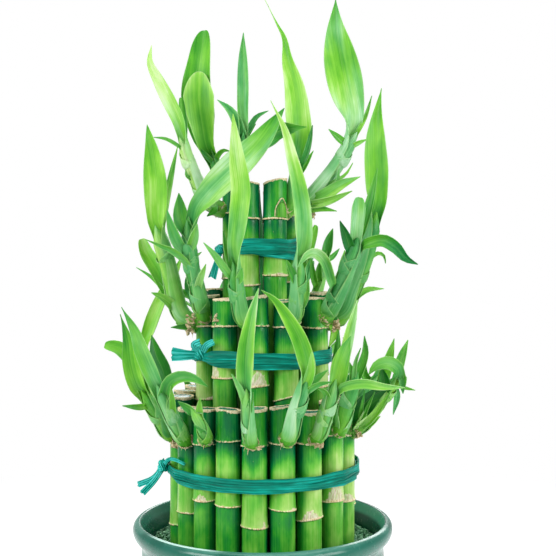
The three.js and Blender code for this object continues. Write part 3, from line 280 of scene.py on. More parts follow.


# The points of a shoot are [across, depth, up] as an eye in front of the plant sees them. Across and up are
# read on the upright plane through the pot's axis, and the depth then slides the point along its line of
# sight. A shoot has its cane, the radius of its stem at the foot and the end, the stem's tone and coolness,
# the stem's points after the one in the cane, and its leaves.
# The tones given to the leaves and stems hold painted light as well as their own green: paler where one
# catches a sheen, darker where one lies in shade.
SHOOTS = [
    # The lower tier, from the left round the front to the right
    dict(cane="lower_19", radius=[2.8, 2.2], tone=0.6, cool=0.2,
         stem=[[-50, 12, 140], [-57, 14, 152], [-60.5, 15, 163]], leaves=[
        leaf(1, 6.8, [[-57.5, 16, 177], [-51.5, 17, 193], [-44, 18, 207], [-40, 19, 217]],
             tone=[0.66, 0.72, 0.7], cool=0),
        leaf(0.6, 3, [[-61, 20, 152], [-66, 25, 158]], turn=[10, 30]),
    ]),
    dict(cane="lower_01", radius=[3.6, 2.9], tone=0.52, cool=0.3,
         stem=[[-47, -10, 127], [-52, -16, 135], [-57, -19, 143]], leaves=[
        leaf(1, 8.6, [[-62.6, -21, 152], [-65.8, -22, 163], [-67.2, -22, 174], [-71.3, -22, 187]],
             belly=0.3, taper=1.2, tone=[0.56, 0.63, 0.44, 0.2], cool=0.15),
        leaf(1, 6.6, [[-65, -18, 163], [-72, -16, 170], [-79, -15, 171.5]],
             belly=0.7, blunt=0.25, tone=0.45, cool=0.05),
        leaf(0.9, 3, [[-63, -24, 140.8], [-70.2, -26, 141.2]]),
    ]),
    dict(cane="lower_02", radius=[3.7, 2.9], tone=0.6, cool=0.6,
         stem=[[-40, -28, 125], [-45, -32, 134], [-50, -34, 145]], leaves=[
        leaf(1, 7.4, [[-55, -35, 156], [-60, -36, 168], [-64, -37, 179], [-70.7, -38, 190.5]],
             taper=1.2, tone=[0.62, 0.64, 0.6, 0.35], cool=0.5),
        leaf(0.9, 7, [[-49.5, -31, 157], [-53.5, -29, 167], [-55.6, -28, 176.5]],
             belly=0.5, tone=0.3, cool=0.4),
        leaf(0.85, 5.6, [[-47, -38, 152], [-41.5, -40, 155.4], [-34.5, -42, 154.6], [-27.5, -43, 150.6]],
             tone=[0.5, 0.44, 0.36], cool=0.4, margin=0.15),
        leaf(0.6, 3, [[-45.5, -38, 143], [-46, -40, 151]]),
    ]),
    dict(cane="lower_03", radius=[3.3, 2.2], tone=0.58, cool=0.4,
         stem=[[-29, -40, 126], [-30.5, -45, 130], [-33.5, -47, 135.5]], leaves=[
        leaf(1, 3.8, [[-37, -48, 139.7], [-42.5, -49, 143.3]]),
        leaf(0.8, 3.2, [[-32, -46, 138], [-31.5, -45, 145]]),
        leaf(0.6, 2.6, [[-30, -50, 128.5], [-34.5, -51, 131.5]]),
    ]),
    dict(cane="lower_05", radius=[3.2, 2.4], tone=0.58, cool=0.65,
         stem=[[-6.5, -49, 124], [-7.5, -52, 133], [-8, -53, 143]], leaves=[
        leaf(1, 7.5, [[-9, -54, 156], [-8.3, -52, 170], [-6, -49, 184], [-2.2, -46, 200]],
             belly=0.3, tone=[0.6, 0.42, 0.32, 0.42, 0.6], cool=[0.6, 0.2, 0.1, 0.4], margin=0.35),
        leaf(0.8, 2.8, [[-11, -54, 148], [-15.7, -55, 157]]),
        leaf(0.7, 2.6, [[-6.5, -55, 141], [-5, -54, 148]]),
    ]),
    dict(cane="lower_06", radius=[3.9, 2.9], tone=0.6, cool=0.65,
         stem=[[13.5, -48, 126], [16, -52, 136], [20, -54, 148]], leaves=[
        leaf(1, 7.4, [[22, -54, 160], [18.5, -52, 174], [12, -49, 186], [5.5, -47, 194.5], [-1, -46, 199]],
             belly=0.3, tone=[0.48, 0.4, 0.36, 0.54, 0.55], cool=[0.4, 0.1, 0.05, 0.4], margin=0.3),
        leaf(0.9, 2.6, [[27, -56, 151.5], [34.5, -56, 153]]),
        leaf(0.95, 4, [[24, -57, 158], [24.3, -57, 168]]),
        leaf(0.95, 3.4, [[27, -52, 155], [32.5, -51, 159]]),
    ]),
    dict(cane="lower_07", radius=[3.5, 2.8], tone=0.64, cool=0.5,
         stem=[[28, -42, 126], [31, -46, 135], [34.5, -47, 147]], leaves=[
        leaf(1, 7.8, [[37.6, -47, 155], [39, -47, 162], [41.6, -46, 170], [44, -46, 176]],
             tone=[0.56, 0.54, 0.5, 0.45], cool=[0.3, 0.1, 0.3]),
        leaf(0.97, 5, [[40, -43, 164], [43.3, -41, 179], [47.3, -39, 194]],
             belly=0.5, tone=[0.7, 0.78, 0.8], cool=0.35, margin=0.1),
        leaf(0.95, 4, [[37, -42, 164], [38, -39, 179]], tone=0.36),
        leaf(0.95, 4.2, [[41, -50, 150.5], [50, -52, 152.3], [60, -53, 150.8], [71, -54, 150]],
             belly=0.45, tone=[0.56, 0.7, 0.76, 0.7], cool=0.3, margin=0.08),
        leaf(0.8, 2.8, [[31, -50, 148], [27, -51, 150]]),
    ]),
    dict(cane="lower_08", radius=[3.8, 3.2], tone=0.55, cool=0.5,
         stem=[[39, -30, 130], [41.5, -33, 139], [45, -34, 150]], leaves=[
        leaf(1, 3.8, [[49, -34, 160], [51.4, -33, 168], [50.8, -32, 176]], tone=0.42, cool=0.3),
        leaf(1, 3, [[44.6, -33, 157], [43.2, -32, 163]]),
        leaf(0.95, 1.8, [[46.5, -37, 163], [49, -38, 170]]),
    ]),
    dict(cane="lower_09", radius=[3.9, 2.4], tone=0.6, cool=0.2,
         stem=[[48, -14, 130], [54, -17, 137.5], [60.5, -18, 145.5], [66, -18, 152]], leaves=[
        leaf(0.3, 2.8, [[53, -20, 131.5], [58.8, -22, 135.7]]),
        # A broad leaf painted dark: its tones stand in for the shade in the hollow between the shoots here
        leaf(0.2, 9, [[49.5, -22, 140], [55, -25, 146], [63, -27, 150]],
             belly=0.5, tone=[0.2, 0.08, 0.1], cool=0.2),
        leaf(0.15, 3.6, [[54, -27, 134.5], [60, -29, 142], [64.5, -29, 149]],
             tone=[0.6, 0.66, 0.6], cool=0.2),
        leaf(0.25, 2, [[49, -27, 138], [51, -30, 149]], tone=0.34, cool=0.1),
        leaf(0.25, 1.8, [[51, -28, 137], [56, -30, 148]], tone=0.5, cool=0.2),
        leaf(0.15, 1.4, [[47, -27, 131], [52, -29, 135.5]], tone=0.85, cool=0.3),
        leaf(0.15, 1.4, [[48, -27, 133], [50.5, -29, 138]], tone=0.9, cool=0.3),
        leaf(0.9, 6.2, [[68, -22, 158.5], [62.5, -25, 162.3], [56, -26, 160.3], [53, -26, 156.5]],
             belly=0.55, tone=[0.5, 0.54, 0.5], cool=0.42),
        leaf(0.7, 5.8, [[61, -22, 152], [59.5, -23, 160]], belly=0.5, tone=0.12, cool=0.3),
        leaf(0.8, 6, [[60, -13, 153], [63, -11, 165], [65.8, -10, 174.7]], tone=0.52, cool=0.15),
        leaf(1, 4.4, [[68.5, -15, 162], [72.7, -14, 174]], tone=0.56, cool=0.1),
        leaf(1, 4, [[69.5, -20, 156], [70.2, -22, 147]], tone=0.35, cool=0.5),
        leaf(0.97, 3, [[67, -15, 147], [65.3, -14, 136.5]], tone=0.55, cool=0.6),
        leaf(1, 1.6, [[71, -17, 150], [76.3, -17, 148.7]]),
        leaf(1, 2, [[69.5, -12, 157], [72.2, -11, 154.7]]),
    ]),
    # The middle tier
    dict(cane="middle_01", radius=[4.2, 3.9], tone=0.64, cool=0.35,
         stem=[[-38.5, 1, 183.5], [-43, 1, 192], [-45.5, 2, 202], [-48, 2, 212], [-51, 1, 222]], leaves=[
        leaf(1, 11.8, [[-52.6, 1, 236], [-53.1, 0, 252], [-55, -1, 268], [-57.8, -2, 281.5]],
             belly=0.45, tone=[0.6, 0.64, 0.6, 0.4], cool=[0.2, 0, 0, 0.4], margin=0.06),
        leaf(0.3, 7, [[-49, 6, 201], [-54, 8, 210.5], [-58.5, 9, 218], [-60.7, 9, 224.5]],
             belly=0.75, blunt=0.25, tone=[0.42, 0.5, 0.7, 0.74], cool=0.1),
        leaf(0.35, 2, [[-55, 8, 205], [-63.2, 10, 210.3]]),
        leaf(0.3, 4.6, [[-49, -5, 194.5], [-55.7, -7, 197.7]]),
        leaf(0.05, 3.4, [[-41.5, -4, 180.8], [-46, -5, 180.3]]),
        leaf(1, 3.4, [[-49, 7, 240], [-46, 8, 256], [-42.5, 9, 271]], tone=0.74, cool=0.2),
    ]),
    dict(cane="middle_01", radius=[3.6, 3.1], tone=0.52, cool=0.65,
         stem=[[-30.5, -8, 189], [-33, -10, 200], [-35.8, -11, 211], [-37.3, -11, 226]], leaves=[
        leaf(1, 14.4, [[-34, -13, 237], [-26.3, -16, 247.7], [-13.4, -18, 260.4], [-1, -17, 273],
              [10.7, -15, 290]],
             belly=0.5, tone=[0.42, 0.62, 0.84, 0.62, 0.3], cool=[0.3, 0.5, 0.6, 0.6, 0.2]),
        leaf(0.97, 7.6, [[-41, -10, 235], [-42, -11, 247.5]], tone=0.48, cool=0.45),
        leaf(0.8, 5.4, [[-41.5, -14, 221], [-45.6, -15, 231], [-47.8, -15, 239]],
             tone=0.5, cool=0.7, margin=0.15),
        leaf(0.85, 4.5, [[-35.5, -15, 222], [-32.8, -16, 232]]),
        leaf(0.68, 1.8, [[-33.5, -12, 215.5], [-30.7, -12, 218]]),
        leaf(0.4, 3.4, [[-32, -15, 203], [-28.5, -17, 212]]),
        leaf(0.5, 3, [[-38.5, -15, 213], [-45, -16, 218.5], [-52, -17, 221.5], [-58.5, -18, 224.2]]),
    ]),
    dict(cane="middle_03", radius=[3.5, 3], tone=0.54, cool=0.5,
         stem=[[-10, -35, 184], [-12.5, -38, 194], [-14, -39, 205]], leaves=[
        leaf(1, 9, [[-13.8, -39, 218], [-12, -38, 236], [-10.8, -36, 249], [-12.8, -34, 266],
              [-15, -32, 287]],
             belly=0.5, tone=[0.56, 0.52, 0.64, 0.74, 0.7], cool=[0.6, 0.5, 0.15, 0.05, 0.1], margin=0.1),
        leaf(0.9, 3.4, [[-18.5, -41, 208.5], [-24, -43, 216], [-29.7, -44, 222.7]]),
        leaf(0.95, 3.4, [[-11.8, -42, 204], [-10.3, -43, 210]]),
        leaf(1, 3, [[-17.3, -37, 215], [-20, -36, 228.5]]),
    ]),
    dict(cane="middle_04", radius=[3.6, 3], tone=0.6, cool=0.6,
         stem=[[16, -32, 186], [17.3, -36, 196], [18, -37, 208]], leaves=[
        leaf(1, 7.8, [[19.8, -37, 222], [20.2, -36, 236], [18.3, -34, 250], [14.8, -32, 265],
              [11, -30, 279], [3.8, -28, 293.7]],
             belly=0.25, taper=1.1, tone=[0.6, 0.5, 0.56, 0.72, 0.82, 0.86],
             cool=[0.6, 0.5, 0.35, 0.15, 0.1], margin=0.2),
        leaf(0.75, 3.4, [[15, -40, 206.5], [11.8, -41, 214]]),
        leaf(0.3, 3, [[21.5, -37, 195], [23, -37, 204.5]]),
        leaf(0.95, 4, [[22.7, -33, 219], [26.4, -31, 231.5]], belly=0.6, blunt=0.25),
    ]),
    dict(cane="middle_05", radius=[4.1, 3.2], tone=0.5, cool=0.7,
         stem=[[32.5, -13, 187.5], [38, -17, 199], [42.3, -19, 210], [46, -20, 220]], leaves=[
        leaf(1, 4, [[50, -20, 231], [54, -19, 245], [57.3, -18, 260]], tone=0.46, cool=0.2),
        leaf(1, 6.6, [[46.8, -23, 230], [47.8, -25, 245.5]], belly=0.8, blunt=0.25, tone=0.68, cool=0.6),
        leaf(0.88, 4.6, [[42.3, -23, 224], [38.5, -25, 233.7]], tone=0.15, cool=0.7),
        leaf(0.97, 5.6, [[53, -24, 222.5], [60, -26, 224], [66.5, -27, 220.5], [71.5, -28, 215],
              [77.7, -29, 211.8]],
             belly=0.5, tone=[0.52, 0.46, 0.38, 0.3], cool=[0.2, 0.2, 0.8, 1]),
        leaf(0.4, 4.6, [[33.8, -24, 205], [31, -29, 213.4], [26.4, -36, 217.6], [21.6, -42, 216.5],
              [17.5, -46, 210.5]],
             belly=0.6, tone=[0.56, 0.62, 0.74, 0.6], cool=0.4, margin=0.1),
        leaf(0.55, 3.4, [[39.3, -13, 211], [41, -11, 219]]),
    ]),
    dict(cane="middle_06", radius=[4, 3.7], tone=0.46, cool=0.5,
         stem=[[38.5, 1, 185], [43, -2, 194], [48, -5, 206], [52.3, -6, 217], [55, -6, 229]], leaves=[
        leaf(1, 11.2, [[56.6, -6, 243], [57, -6, 256], [56.6, -6, 272], [57.2, -6, 286], [59.3, -6, 300]],
             belly=0.42, taper=1.2, tone=[0.3, 0.42, 0.52, 0.52, 0.44], cool=0.15, margin=0.12),
        leaf(0.7, 1.8, [[57.7, -3, 217.5], [60.7, -2, 216], [61.4, -2, 212.3]]),
        leaf(0.3, 3, [[51, 0, 198.6], [60.7, 2, 199.7]]),
        leaf(0.05, 2, [[43, -1, 185.5], [47, -1, 184.3]]),
        leaf(0.1, 5, [[35.5, -7, 178], [33, -9, 170.5]]),
    ]),
    dict(cane="middle_07", radius=[2.6, 2], stem=[[25.5, 19, 192], [28.5, 22, 203], [31, 23, 214]], leaves=[
        leaf(1, 4.8, [[33, 24, 223], [35, 24, 229.8]]),
        leaf(0.95, 2.6, [[35, 25, 216], [38.3, 26, 219.8]]),
        leaf(0.6, 3.6, [[28, 19, 207], [28.7, 18, 214]]),
        leaf(0.5, 3, [[25, 18, 206], [23.8, 17, 216]]),
    ]),
    # The top tier
    dict(cane="top_01", radius=[3.7, 2.7], tone=0.8, cool=0.3,
         stem=[[-26, -3, 242], [-32, -4, 251], [-36, -4, 260], [-39.3, -4, 269]], leaves=[
        leaf(1, 6.6, [[-40.5, -4, 279], [-45.8, -4, 291.5], [-51.9, -4, 303.5], [-56.2, -4, 312.5],
              [-55.6, -4, 321]],
             belly=0.45, tone=[0.7, 0.76, 0.95, 1], cool=[0.5, 0.25, 0.1]),
        leaf(0.98, 3.6, [[-39.7, 0, 280], [-41, 1, 295]],
             belly=0.6, blunt=0.25, tone=[0.78, 0.6, 0.35], cool=[0.5, 0.2]),
        leaf(0.97, 1.6, [[-43, -7, 271.5], [-48.5, -8, 274.5], [-54.5, -9, 275.2]], tone=0.5, cool=0.6),
        leaf(0.6, 1.8, [[-38, -7, 256], [-38.6, -8, 259]]),
        leaf(0.3, 3.4, [[-24, -7, 239.5], [-28, -8, 235.8]]),
    ]),
    dict(cane="top_06", radius=[3.2, 2.8], tone=0.45, cool=0.5,
         stem=[[-16, 14, 245], [-21, 15, 254], [-24, 15, 262]], leaves=[
        leaf(1, 16.4, [[-27.8, 15, 270], [-30.4, 14, 281], [-32.6, 14, 299], [-31, 16, 315],
              [-29.2, 20, 328.5]],
             belly=0.42, blunt=0.36, tone=[0.45, 0.5, 0.46, 0.42], cool=0.15),
        leaf(0.97, 15.4, [[-28, 11, 270], [-30.2, 9, 281], [-32, 9, 295], [-31.8, 10, 308]],
             belly=0.75, blunt=0.45, turn=[0, 0], tone=[0.4, 0.46, 0.46, 0.5, 0.72], cool=0, margin=0.22),
        leaf(0.95, 2.2, [[-28, 11, 266], [-31.7, 10, 269.8]]),
        leaf(1, 2.4, [[-22, 11, 267], [-19.5, 10, 268.8], [-16.5, 9, 268.3]]),
    ]),
    dict(cane="top_01", radius=[2.4, 2], tone=0.52, cool=0.8,
         stem=[[-14.6, 7, 244], [-12.6, 7, 257], [-10.3, 4, 273]], leaves=[
        leaf(1, 5.6, [[-9.9, 4, 288], [-9.7, 5, 305], [-9.8, 6, 327.5]],
             belly=0.5, tone=[0.7, 0.62, 0.52], cool=0.65),
        leaf(0.97, 5, [[-13.5, 3, 283.5], [-17, 2, 289], [-22.8, 1, 294]],
             tone=0.52, cool=0.85, margin=0.2),
        leaf(0.98, 2.8, [[-6.5, 5, 280], [-3, 6, 285.5], [2.7, 7, 288.6]], tone=0.45, cool=0.7),
        leaf(0.95, 2, [[-6.5, 7, 278.5], [-3.6, 8, 282]]),
        leaf(0.9, 9.6, [[-3, 0, 271.5], [7, -7, 278], [14, -12, 279.6], [21.8, -14, 280.6]],
             belly=0.5, taper=1.2, turn=[0, 0], tone=[0.3, 0.3, 0.22, 0.36],
             cool=[0.4, 0.3, 0.1], margin=0.1),
    ]),
    dict(cane="top_03", radius=[3, 2.6], tone=0.55, cool=0.5,
         stem=[[14.2, -11, 240], [15.4, -11, 250], [17, -10, 259]], leaves=[
        leaf(1, 12, [[18, -8, 266], [17.8, -7, 282], [16, -6, 300], [12.3, -5, 314], [10.6, -4, 325],
              [6.7, -4, 332.8], [0.8, -4, 344.3]],
             belly=0.27, taper=2.5, tone=[0.4, 0.52, 0.68, 0.76, 0.7, 0.52, 0.6, 0.76],
             cool=[0.4, 0.3, 0, 0, 0.1, 0.4, 0.5], margin=0.14),
        leaf(0.95, 2.8, [[20.7, -12, 265], [23, -12, 273], [24.8, -11, 281.5]], tone=0.2, cool=0.4),
        leaf(0.8, 2.6, [[20.5, -8, 260.5], [25.2, -6, 268.7]]),
    ]),
    dict(cane="top_04", radius=[3.4, 3.3], tone=0.7, cool=0.7,
         stem=[[23, -3, 244.5], [31, -4, 253.5], [37.7, -4, 262], [43, -4, 271]], leaves=[
        leaf(1, 17, [[44.5, -4, 280], [43.8, -4, 290], [41.3, -4, 303], [38.6, -4, 317], [36.6, -4, 330],
              [36.3, -4, 344.5]],
             belly=0.46, taper=1.15, tone=[0.86, 0.82, 0.7, 0.5, 0.66, 0.46],
             cool=[0.8, 0.7, 0.4, 0, 0.5, 0.2]),
        leaf(1, 3.4, [[37.5, -7, 275], [32.8, -8, 279.5]]),
        leaf(1, 2, [[51, -3, 285], [54.5, -2, 296.3]]),
        leaf(0.95, 2.2, [[48, -7, 272.8], [52, -8, 274.4]]),
        leaf(0.2, 6, [[30, -9, 246], [40, -11, 252], [48.7, -12, 255.8]]),
        leaf(0.15, 4, [[32, -11, 243.5], [44.7, -13, 248.6]]),
        leaf(0.05, 3.4, [[28, -8, 239.5], [37, -9, 238.5]]),
        leaf(0.35, 2.4, [[36.5, -8, 252], [38, -8, 260]]),
        leaf(0.4, 1.6, [[41, -9, 256.5], [45, -10, 262.7]]),
    ]),
    # Shoots behind the tower that the front ones hide
    dict(cane="lower_10", radius=[2.6, 2], stem=[[46, 6, 138], [51, 9, 146], [55, 11, 152]], leaves=[
        leaf(1, 4.6, [[59, 13, 158], [62, 15, 165]]),
        leaf(0.9, 4, [[50, 14, 158], [50, 17, 168]]),
        leaf(0.6, 3, [[54, 5, 144], [60, 4, 148]]),
    ]),
    dict(cane="lower_11", radius=[2.6, 2], stem=[[43, 22, 137], [47, 27, 144], [51, 31, 150]], leaves=[
        leaf(1, 5, [[58, 35, 155], [64, 39, 158]]),
        leaf(0.9, 4, [[51, 38, 152], [54, 46, 154]]),
        leaf(0.6, 3, [[51, 26, 141], [56, 28, 147]]),
    ]),
    dict(cane="lower_18", radius=[2.6, 2], stem=[[-41, 26, 136], [-48, 30, 143], [-54, 33, 151]], leaves=[
        leaf(1, 5, [[-59, 35, 160], [-61, 37, 171]]),
        leaf(0.9, 4, [[-56, 38, 152], [-58, 44, 156]]),
        leaf(0.6, 3, [[-48, 36, 143], [-50, 44, 150]]),
    ]),
    dict(cane="middle_10", radius=[2.8, 2.2],
         stem=[[-12, 34, 190], [-13, 38, 203], [-13.5, 40, 215]], leaves=[
        leaf(1, 7, [[-13, 41, 228], [-12, 41, 250]]),
        leaf(0.7, 3.6, [[-17, 44, 212], [-18, 50, 224]]),
        leaf(0.5, 3, [[-8, 44, 205], [-5, 51, 213]]),
    ]),
    dict(cane="top_05", radius=[2.8, 2.2], stem=[[10, 20, 242], [15, 26, 252], [18, 29, 263]], leaves=[
        leaf(1, 6.6, [[18, 31, 278], [16, 32, 300]]),
        leaf(0.8, 3.6, [[18, 34, 261], [20, 40, 268]]),
        leaf(0.6, 3, [[13, 31, 250], [9, 38, 252]]),
    ]),
]

# The habits of the shoots at the back. Their points are [sideways, outwards, up] from the shoot's root.
HABITS = [
    dict(radius=[2.8, 2.2], stem=[[1, 9, 8], [2, 13, 20], [2, 15, 32]], leaves=[
        leaf(1, 8, [[1, 17, 48], [-1, 17, 66], [1, 15, 84]]),
        leaf(0.8, 4, [[-4, 19, 36], [-8, 26, 46]], turn=[10, 30]),
        leaf(0.9, 3.4, [[6, 18, 42], [7, 26, 50]], turn=[-10, -30]),
        leaf(0.5, 2.6, [[3, 22, 24], [2, 31, 27]]),
    ]),
    dict(radius=[2.9, 2.3], stem=[[-1, 10, 6], [-2, 16, 16], [-3, 20, 28]], leaves=[
        leaf(1, 6.4, [[-3, 24, 42], [-1, 26, 56], [1, 26, 70]]),
        leaf(0.95, 4.6, [[-1, 29, 35], [0, 38, 37], [1, 46, 31]], belly=0.5),
        leaf(0.6, 2.6, [[-6, 19, 26], [-7, 21, 35]], turn=[20, 20]),
        leaf(0.4, 2.4, [[3, 20, 15], [6, 27, 18]]),
    ]),
    dict(radius=[2.7, 2], stem=[[0, 9, 7], [1, 12, 17], [2, 13, 26]], leaves=[
        leaf(1, 5, [[3, 14, 38], [3, 13, 54]]),
        leaf(0.95, 4, [[-3, 17, 32], [-6, 19, 44]], turn=[20, 30]),
        leaf(0.9, 3.4, [[6, 18, 30], [7, 25, 33]], turn=[-20, -20]),
        leaf(0.5, 2.4, [[-2, 19, 18], [-4, 27, 20]]),
    ]),
]

# The canes that carry a shoot of one of those habits: [cane, habit, mirrored, height scale]
BACK_SHOOTS = [
    ["lower_12", 2, -1, 0.8], ["lower_13", 0, 1, 0.95], ["lower_14", 1, -1, 0.9], ["lower_15", 2, 1, 1.2],
    ["lower_16", 0, -1, 0.9], ["lower_17", 2, -1, 0.6], ["middle_08", 1, 1, 0.9], ["middle_09", 0, -1, 0.9],
    ["middle_11", 2, 1, 0.5],
]

# One of them lies deep in the gap between two top canes, and its undersides take this much painted shade
UNDERSIDE_SHADES = {"middle_09": 0.6}

# Raffia ties. A tie has its height, its width on the left and on the right, the share of it that is left at
# the knot, how far from there it is narrower, in radians, the seen point and the size of the knot, and its
# loose strips. A strip has its width at both ends and its path in seen points.
TIES = {
    "lower": dict(
        height=111, wide=[7.4, 7.4], gather=0.6, spread=0.5, knot=[-50, -8, 111], size=3.2,
        strips=[
            dict(wide=[2.4, 3], path=[[-50, -8, 110.5], [-55, -9, 105], [-62.5, -10, 101.8]]),
            dict(wide=[2.4, 3.2], path=[[-50, -8, 110], [-54.5, -10, 103.5], [-60.3, -12, 97.4]]),
            dict(
                wide=[2, 1.4],
                path=[[-49.5, -10, 112], [-47.5, -14, 114], [-44, -24, 114], [-39.5, -31, 112]],
            ),
        ],
    ),
    "middle": dict(
        height=166.5, wide=[7.8, 7.8], gather=0.6, spread=0.5, knot=[-31, -13, 167.5], size=3.8,
        strips=[
            dict(wide=[3.4, 6.8], path=[[-32, -14, 166.5], [-39, -15, 166.5], [-45.6, -15, 167]]),
            dict(wide=[3, 3.6], path=[[-31, -15, 168], [-34.5, -17, 171.5], [-31.5, -18, 173]]),
            dict(wide=[3, 3], path=[[-30, -16, 168], [-28, -24, 171.5], [-25, -29, 173]]),
        ],
    ),
    "top": dict(
        height=219.6, wide=[7.6, 11.4], gather=0.55, spread=1.2, knot=[-22.2, -6, 218.5], size=2.9,
        strips=[
            dict(wide=[2.2, 4], path=[[-22, -6, 217], [-23.6, -7, 211], [-25.4, -7, 205]]),
        ],
    ),
}

# Crumpled dry scars where shoots break out: cane, seen point, and half its width, depth and height
CRUMPLES = [
    ["middle_01", [-36.2, -7, 182], [2, 1.6, 4.4]], ["middle_02", [-23, -24, 183.5], [1.4, 1.2, 2.8]],
    ["middle_05", [36.5, -13, 181], [1.6, 1.6, 2]], ["lower_09", [48, -17, 129], [1.6, 1.4, 3]],
    ["lower_06", [10.3, -42, 126.5], [0.9, 1, 2.6]], ["lower_07", [28, -42, 121.5], [2, 1, 1.2]],
    ["lower_05", [-5, -46, 121], [2.6, 1, 1.6]], ["lower_01", [-43.5, -14, 121.5], [2, 1.6, 1.2]],
    ["lower_02", [-33, -25, 124], [0.7, 1, 3.2]], ["top_01", [-23.3, -3, 239], [1.4, 1.6, 2.6]],
    ["top_04", [24.6, -6, 236.5], [0.8, 1, 1.4]],
]

# Ramps of colour. A stop is the value that it stands for, then its red, green and blue.
LEAF_WARM = [
    (0, 0, 0.125, 0.01), (0.3, 0.04, 0.31, 0.014), (0.5, 0.125, 0.475, 0.025), (0.7, 0.26, 0.63, 0.05),
    (0.85, 0.45, 0.73, 0.18), (1, 0.69, 0.86, 0.47),
]
LEAF_COLD = [
    (0, 0.001, 0.09, 0.02), (0.3, 0.014, 0.26, 0.055), (0.5, 0.065, 0.39, 0.105), (0.7, 0.185, 0.55, 0.205),
    (0.85, 0.38, 0.69, 0.385), (1, 0.62, 0.83, 0.63),
]
CANE_GREEN = [
    (0, 0, 0.065, 0.025), (0.22, 0, 0.13, 0.033), (0.42, 0.02, 0.255, 0.02), (0.6, 0.10, 0.385, 0.035),
    (0.8, 0.25, 0.50, 0.09), (1, 0.45, 0.61, 0.22),
]
WAX_GREEN = [(0.3, 0.002, 0.06, 0.045), (0.55, 0.02, 0.19, 0.14), (0.75, 0.12, 0.38, 0.28)]
SCAR_BROWN = [
    (0.3, 0.22, 0.13, 0.05), (0.4, 0.48, 0.35, 0.16), (0.5, 0.68, 0.56, 0.33), (0.65, 0.80, 0.73, 0.53),
]
PAPER_WHITE = [
    (0.3, 0.30, 0.20, 0.12), (0.45, 0.50, 0.42, 0.30), (0.55, 0.66, 0.61, 0.50), (0.7, 0.80, 0.78, 0.70),
]
RAFFIA_GREEN = [
    (0, 0, 0.04, 0.028), (0.3, 0, 0.11, 0.075), (0.6, 0, 0.2, 0.14), (0.85, 0.002, 0.36, 0.29),
    (1, 0.07, 0.58, 0.53),
]
GLAZE_GREEN = [(0.3, 0.004, 0.065, 0.042), (0.55, 0.01, 0.12, 0.082), (0.8, 0.03, 0.19, 0.14)]
GRAVEL_GREEN = [(0, 0.01, 0.07, 0.03), (0.4, 0.05, 0.19, 0.09), (0.75, 0.12, 0.34, 0.18), (1, 0.26, 0.5, 0.3)]
FLOOR_GREY = [(0.3, 0.88, 0.88, 0.88), (0.7, 0.92, 0.92, 0.92)]

# Other colours of the materials, and the roughness of all that is dry
LEAF_EDGE = (0.45, 0.70, 0.26)
LEAF_RIB = (0.34, 0.62, 0.14)
CANE_SPECK = (0.01, 0.10, 0.015)
GLAZE_EDGE = (0.09, 0.26, 0.2)
# The colour of the painted highlight on the rim
PAINTED_RIM_HIGHLIGHT = (0.6, 0.84, 0.78)
CLAY = (0.55, 0.40, 0.28)
DRY_ROUGHNESS = 0.85
# Painted light on the glaze inside the lip: its colour on the left and on the right, paler than the glaze
# below it
PAINTED_LIP_LIGHT = ((0.03, 0.2, 0.155), (0.1, 0.42, 0.34))
# The heights in metres between which the rim's glaze gets thin and the foot's begins
GLAZE_THINS = (0.0838, 0.0856)
BARE_FOOT = (0.0012, 0.0018)
# How much of the light on a leaf shines through it
LEAF_THROUGH = 0.3


# Helpers for numbers and points

def smooth(value, low, high):
    """0 below low, 1 above high and a soft step between."""
    share = np.clip((value - low) / (high - low), 0, 1)
    return share * share * (3 - 2 * share)


def mix(start, end, share):
    return start + (end - start) * share


def bell(value, middle, width):
    """1 at the middle, and falling to 0 on both sides of it."""
    return np.exp(-(((value - middle) / width) ** 2))


def wrapped(angle):
    """The same angle, between minus and plus half a turn."""
    return (angle + math.pi) % TURN - math.pi


def circle(sides):
    return np.arange(sides) / sides * TURN


def round_z(radius, angle, height):
    """Points round the upright axis."""
    return np.stack(np.broadcast_arrays(radius * np.cos(angle), radius * np.sin(angle), height), axis=-1)


def unit(vectors):
    return vectors / np.maximum(np.linalg.norm(vectors, axis=-1, keepdims=True), 1e-9)


def seen(point):
    """Moves a seen point [across, depth, up] to its real place."""
    across, depth, up = point
    nearer = (EYE_DISTANCE + depth) / EYE_DISTANCE
    return np.array([across * nearer, depth, EYE_HEIGHT + (up - EYE_HEIGHT) * nearer])


def scattered(points, rng):
    """Points moved to a place of their own in the noise of their material."""
    return points + rng.uniform(0, NOISE_ROOM, 3)


def wander(rng, count=4):
    """A smooth random function of an angle, between about -1 and 1."""
    sizes = rng.uniform(0.4, 1, count) / np.arange(1, count + 1)
    phases = rng.uniform(0, TURN, count)

    def value(angle):
        waves = [size * np.cos((k + 1) * angle + phase) for k, (size, phase) in enumerate(zip(sizes, phases))]
        return sum(waves) / sizes.sum()

    return value


class Line:
    """Straight steps between points, read by the share of its length."""

    def __init__(self, points):
        self.line = points
        steps = np.linalg.norm(np.diff(points, axis=0), axis=1)
        self.reach = np.concatenate([[0], np.cumsum(steps)])
        self.length = self.reach[-1]

    def at(self, shares):
        reach = np.asarray(shares, float) * self.length
        return np.stack([np.interp(reach, self.reach, self.line[:, k]) for k in range(3)], axis=-1)

    def along(self, shares):
        shares = np.asarray(shares, float)
        step = min(0.5, 0.8 / self.length)
        return unit(self.at(np.clip(shares + step, 0, 1)) - self.at(np.clip(shares - step, 0, 1)))


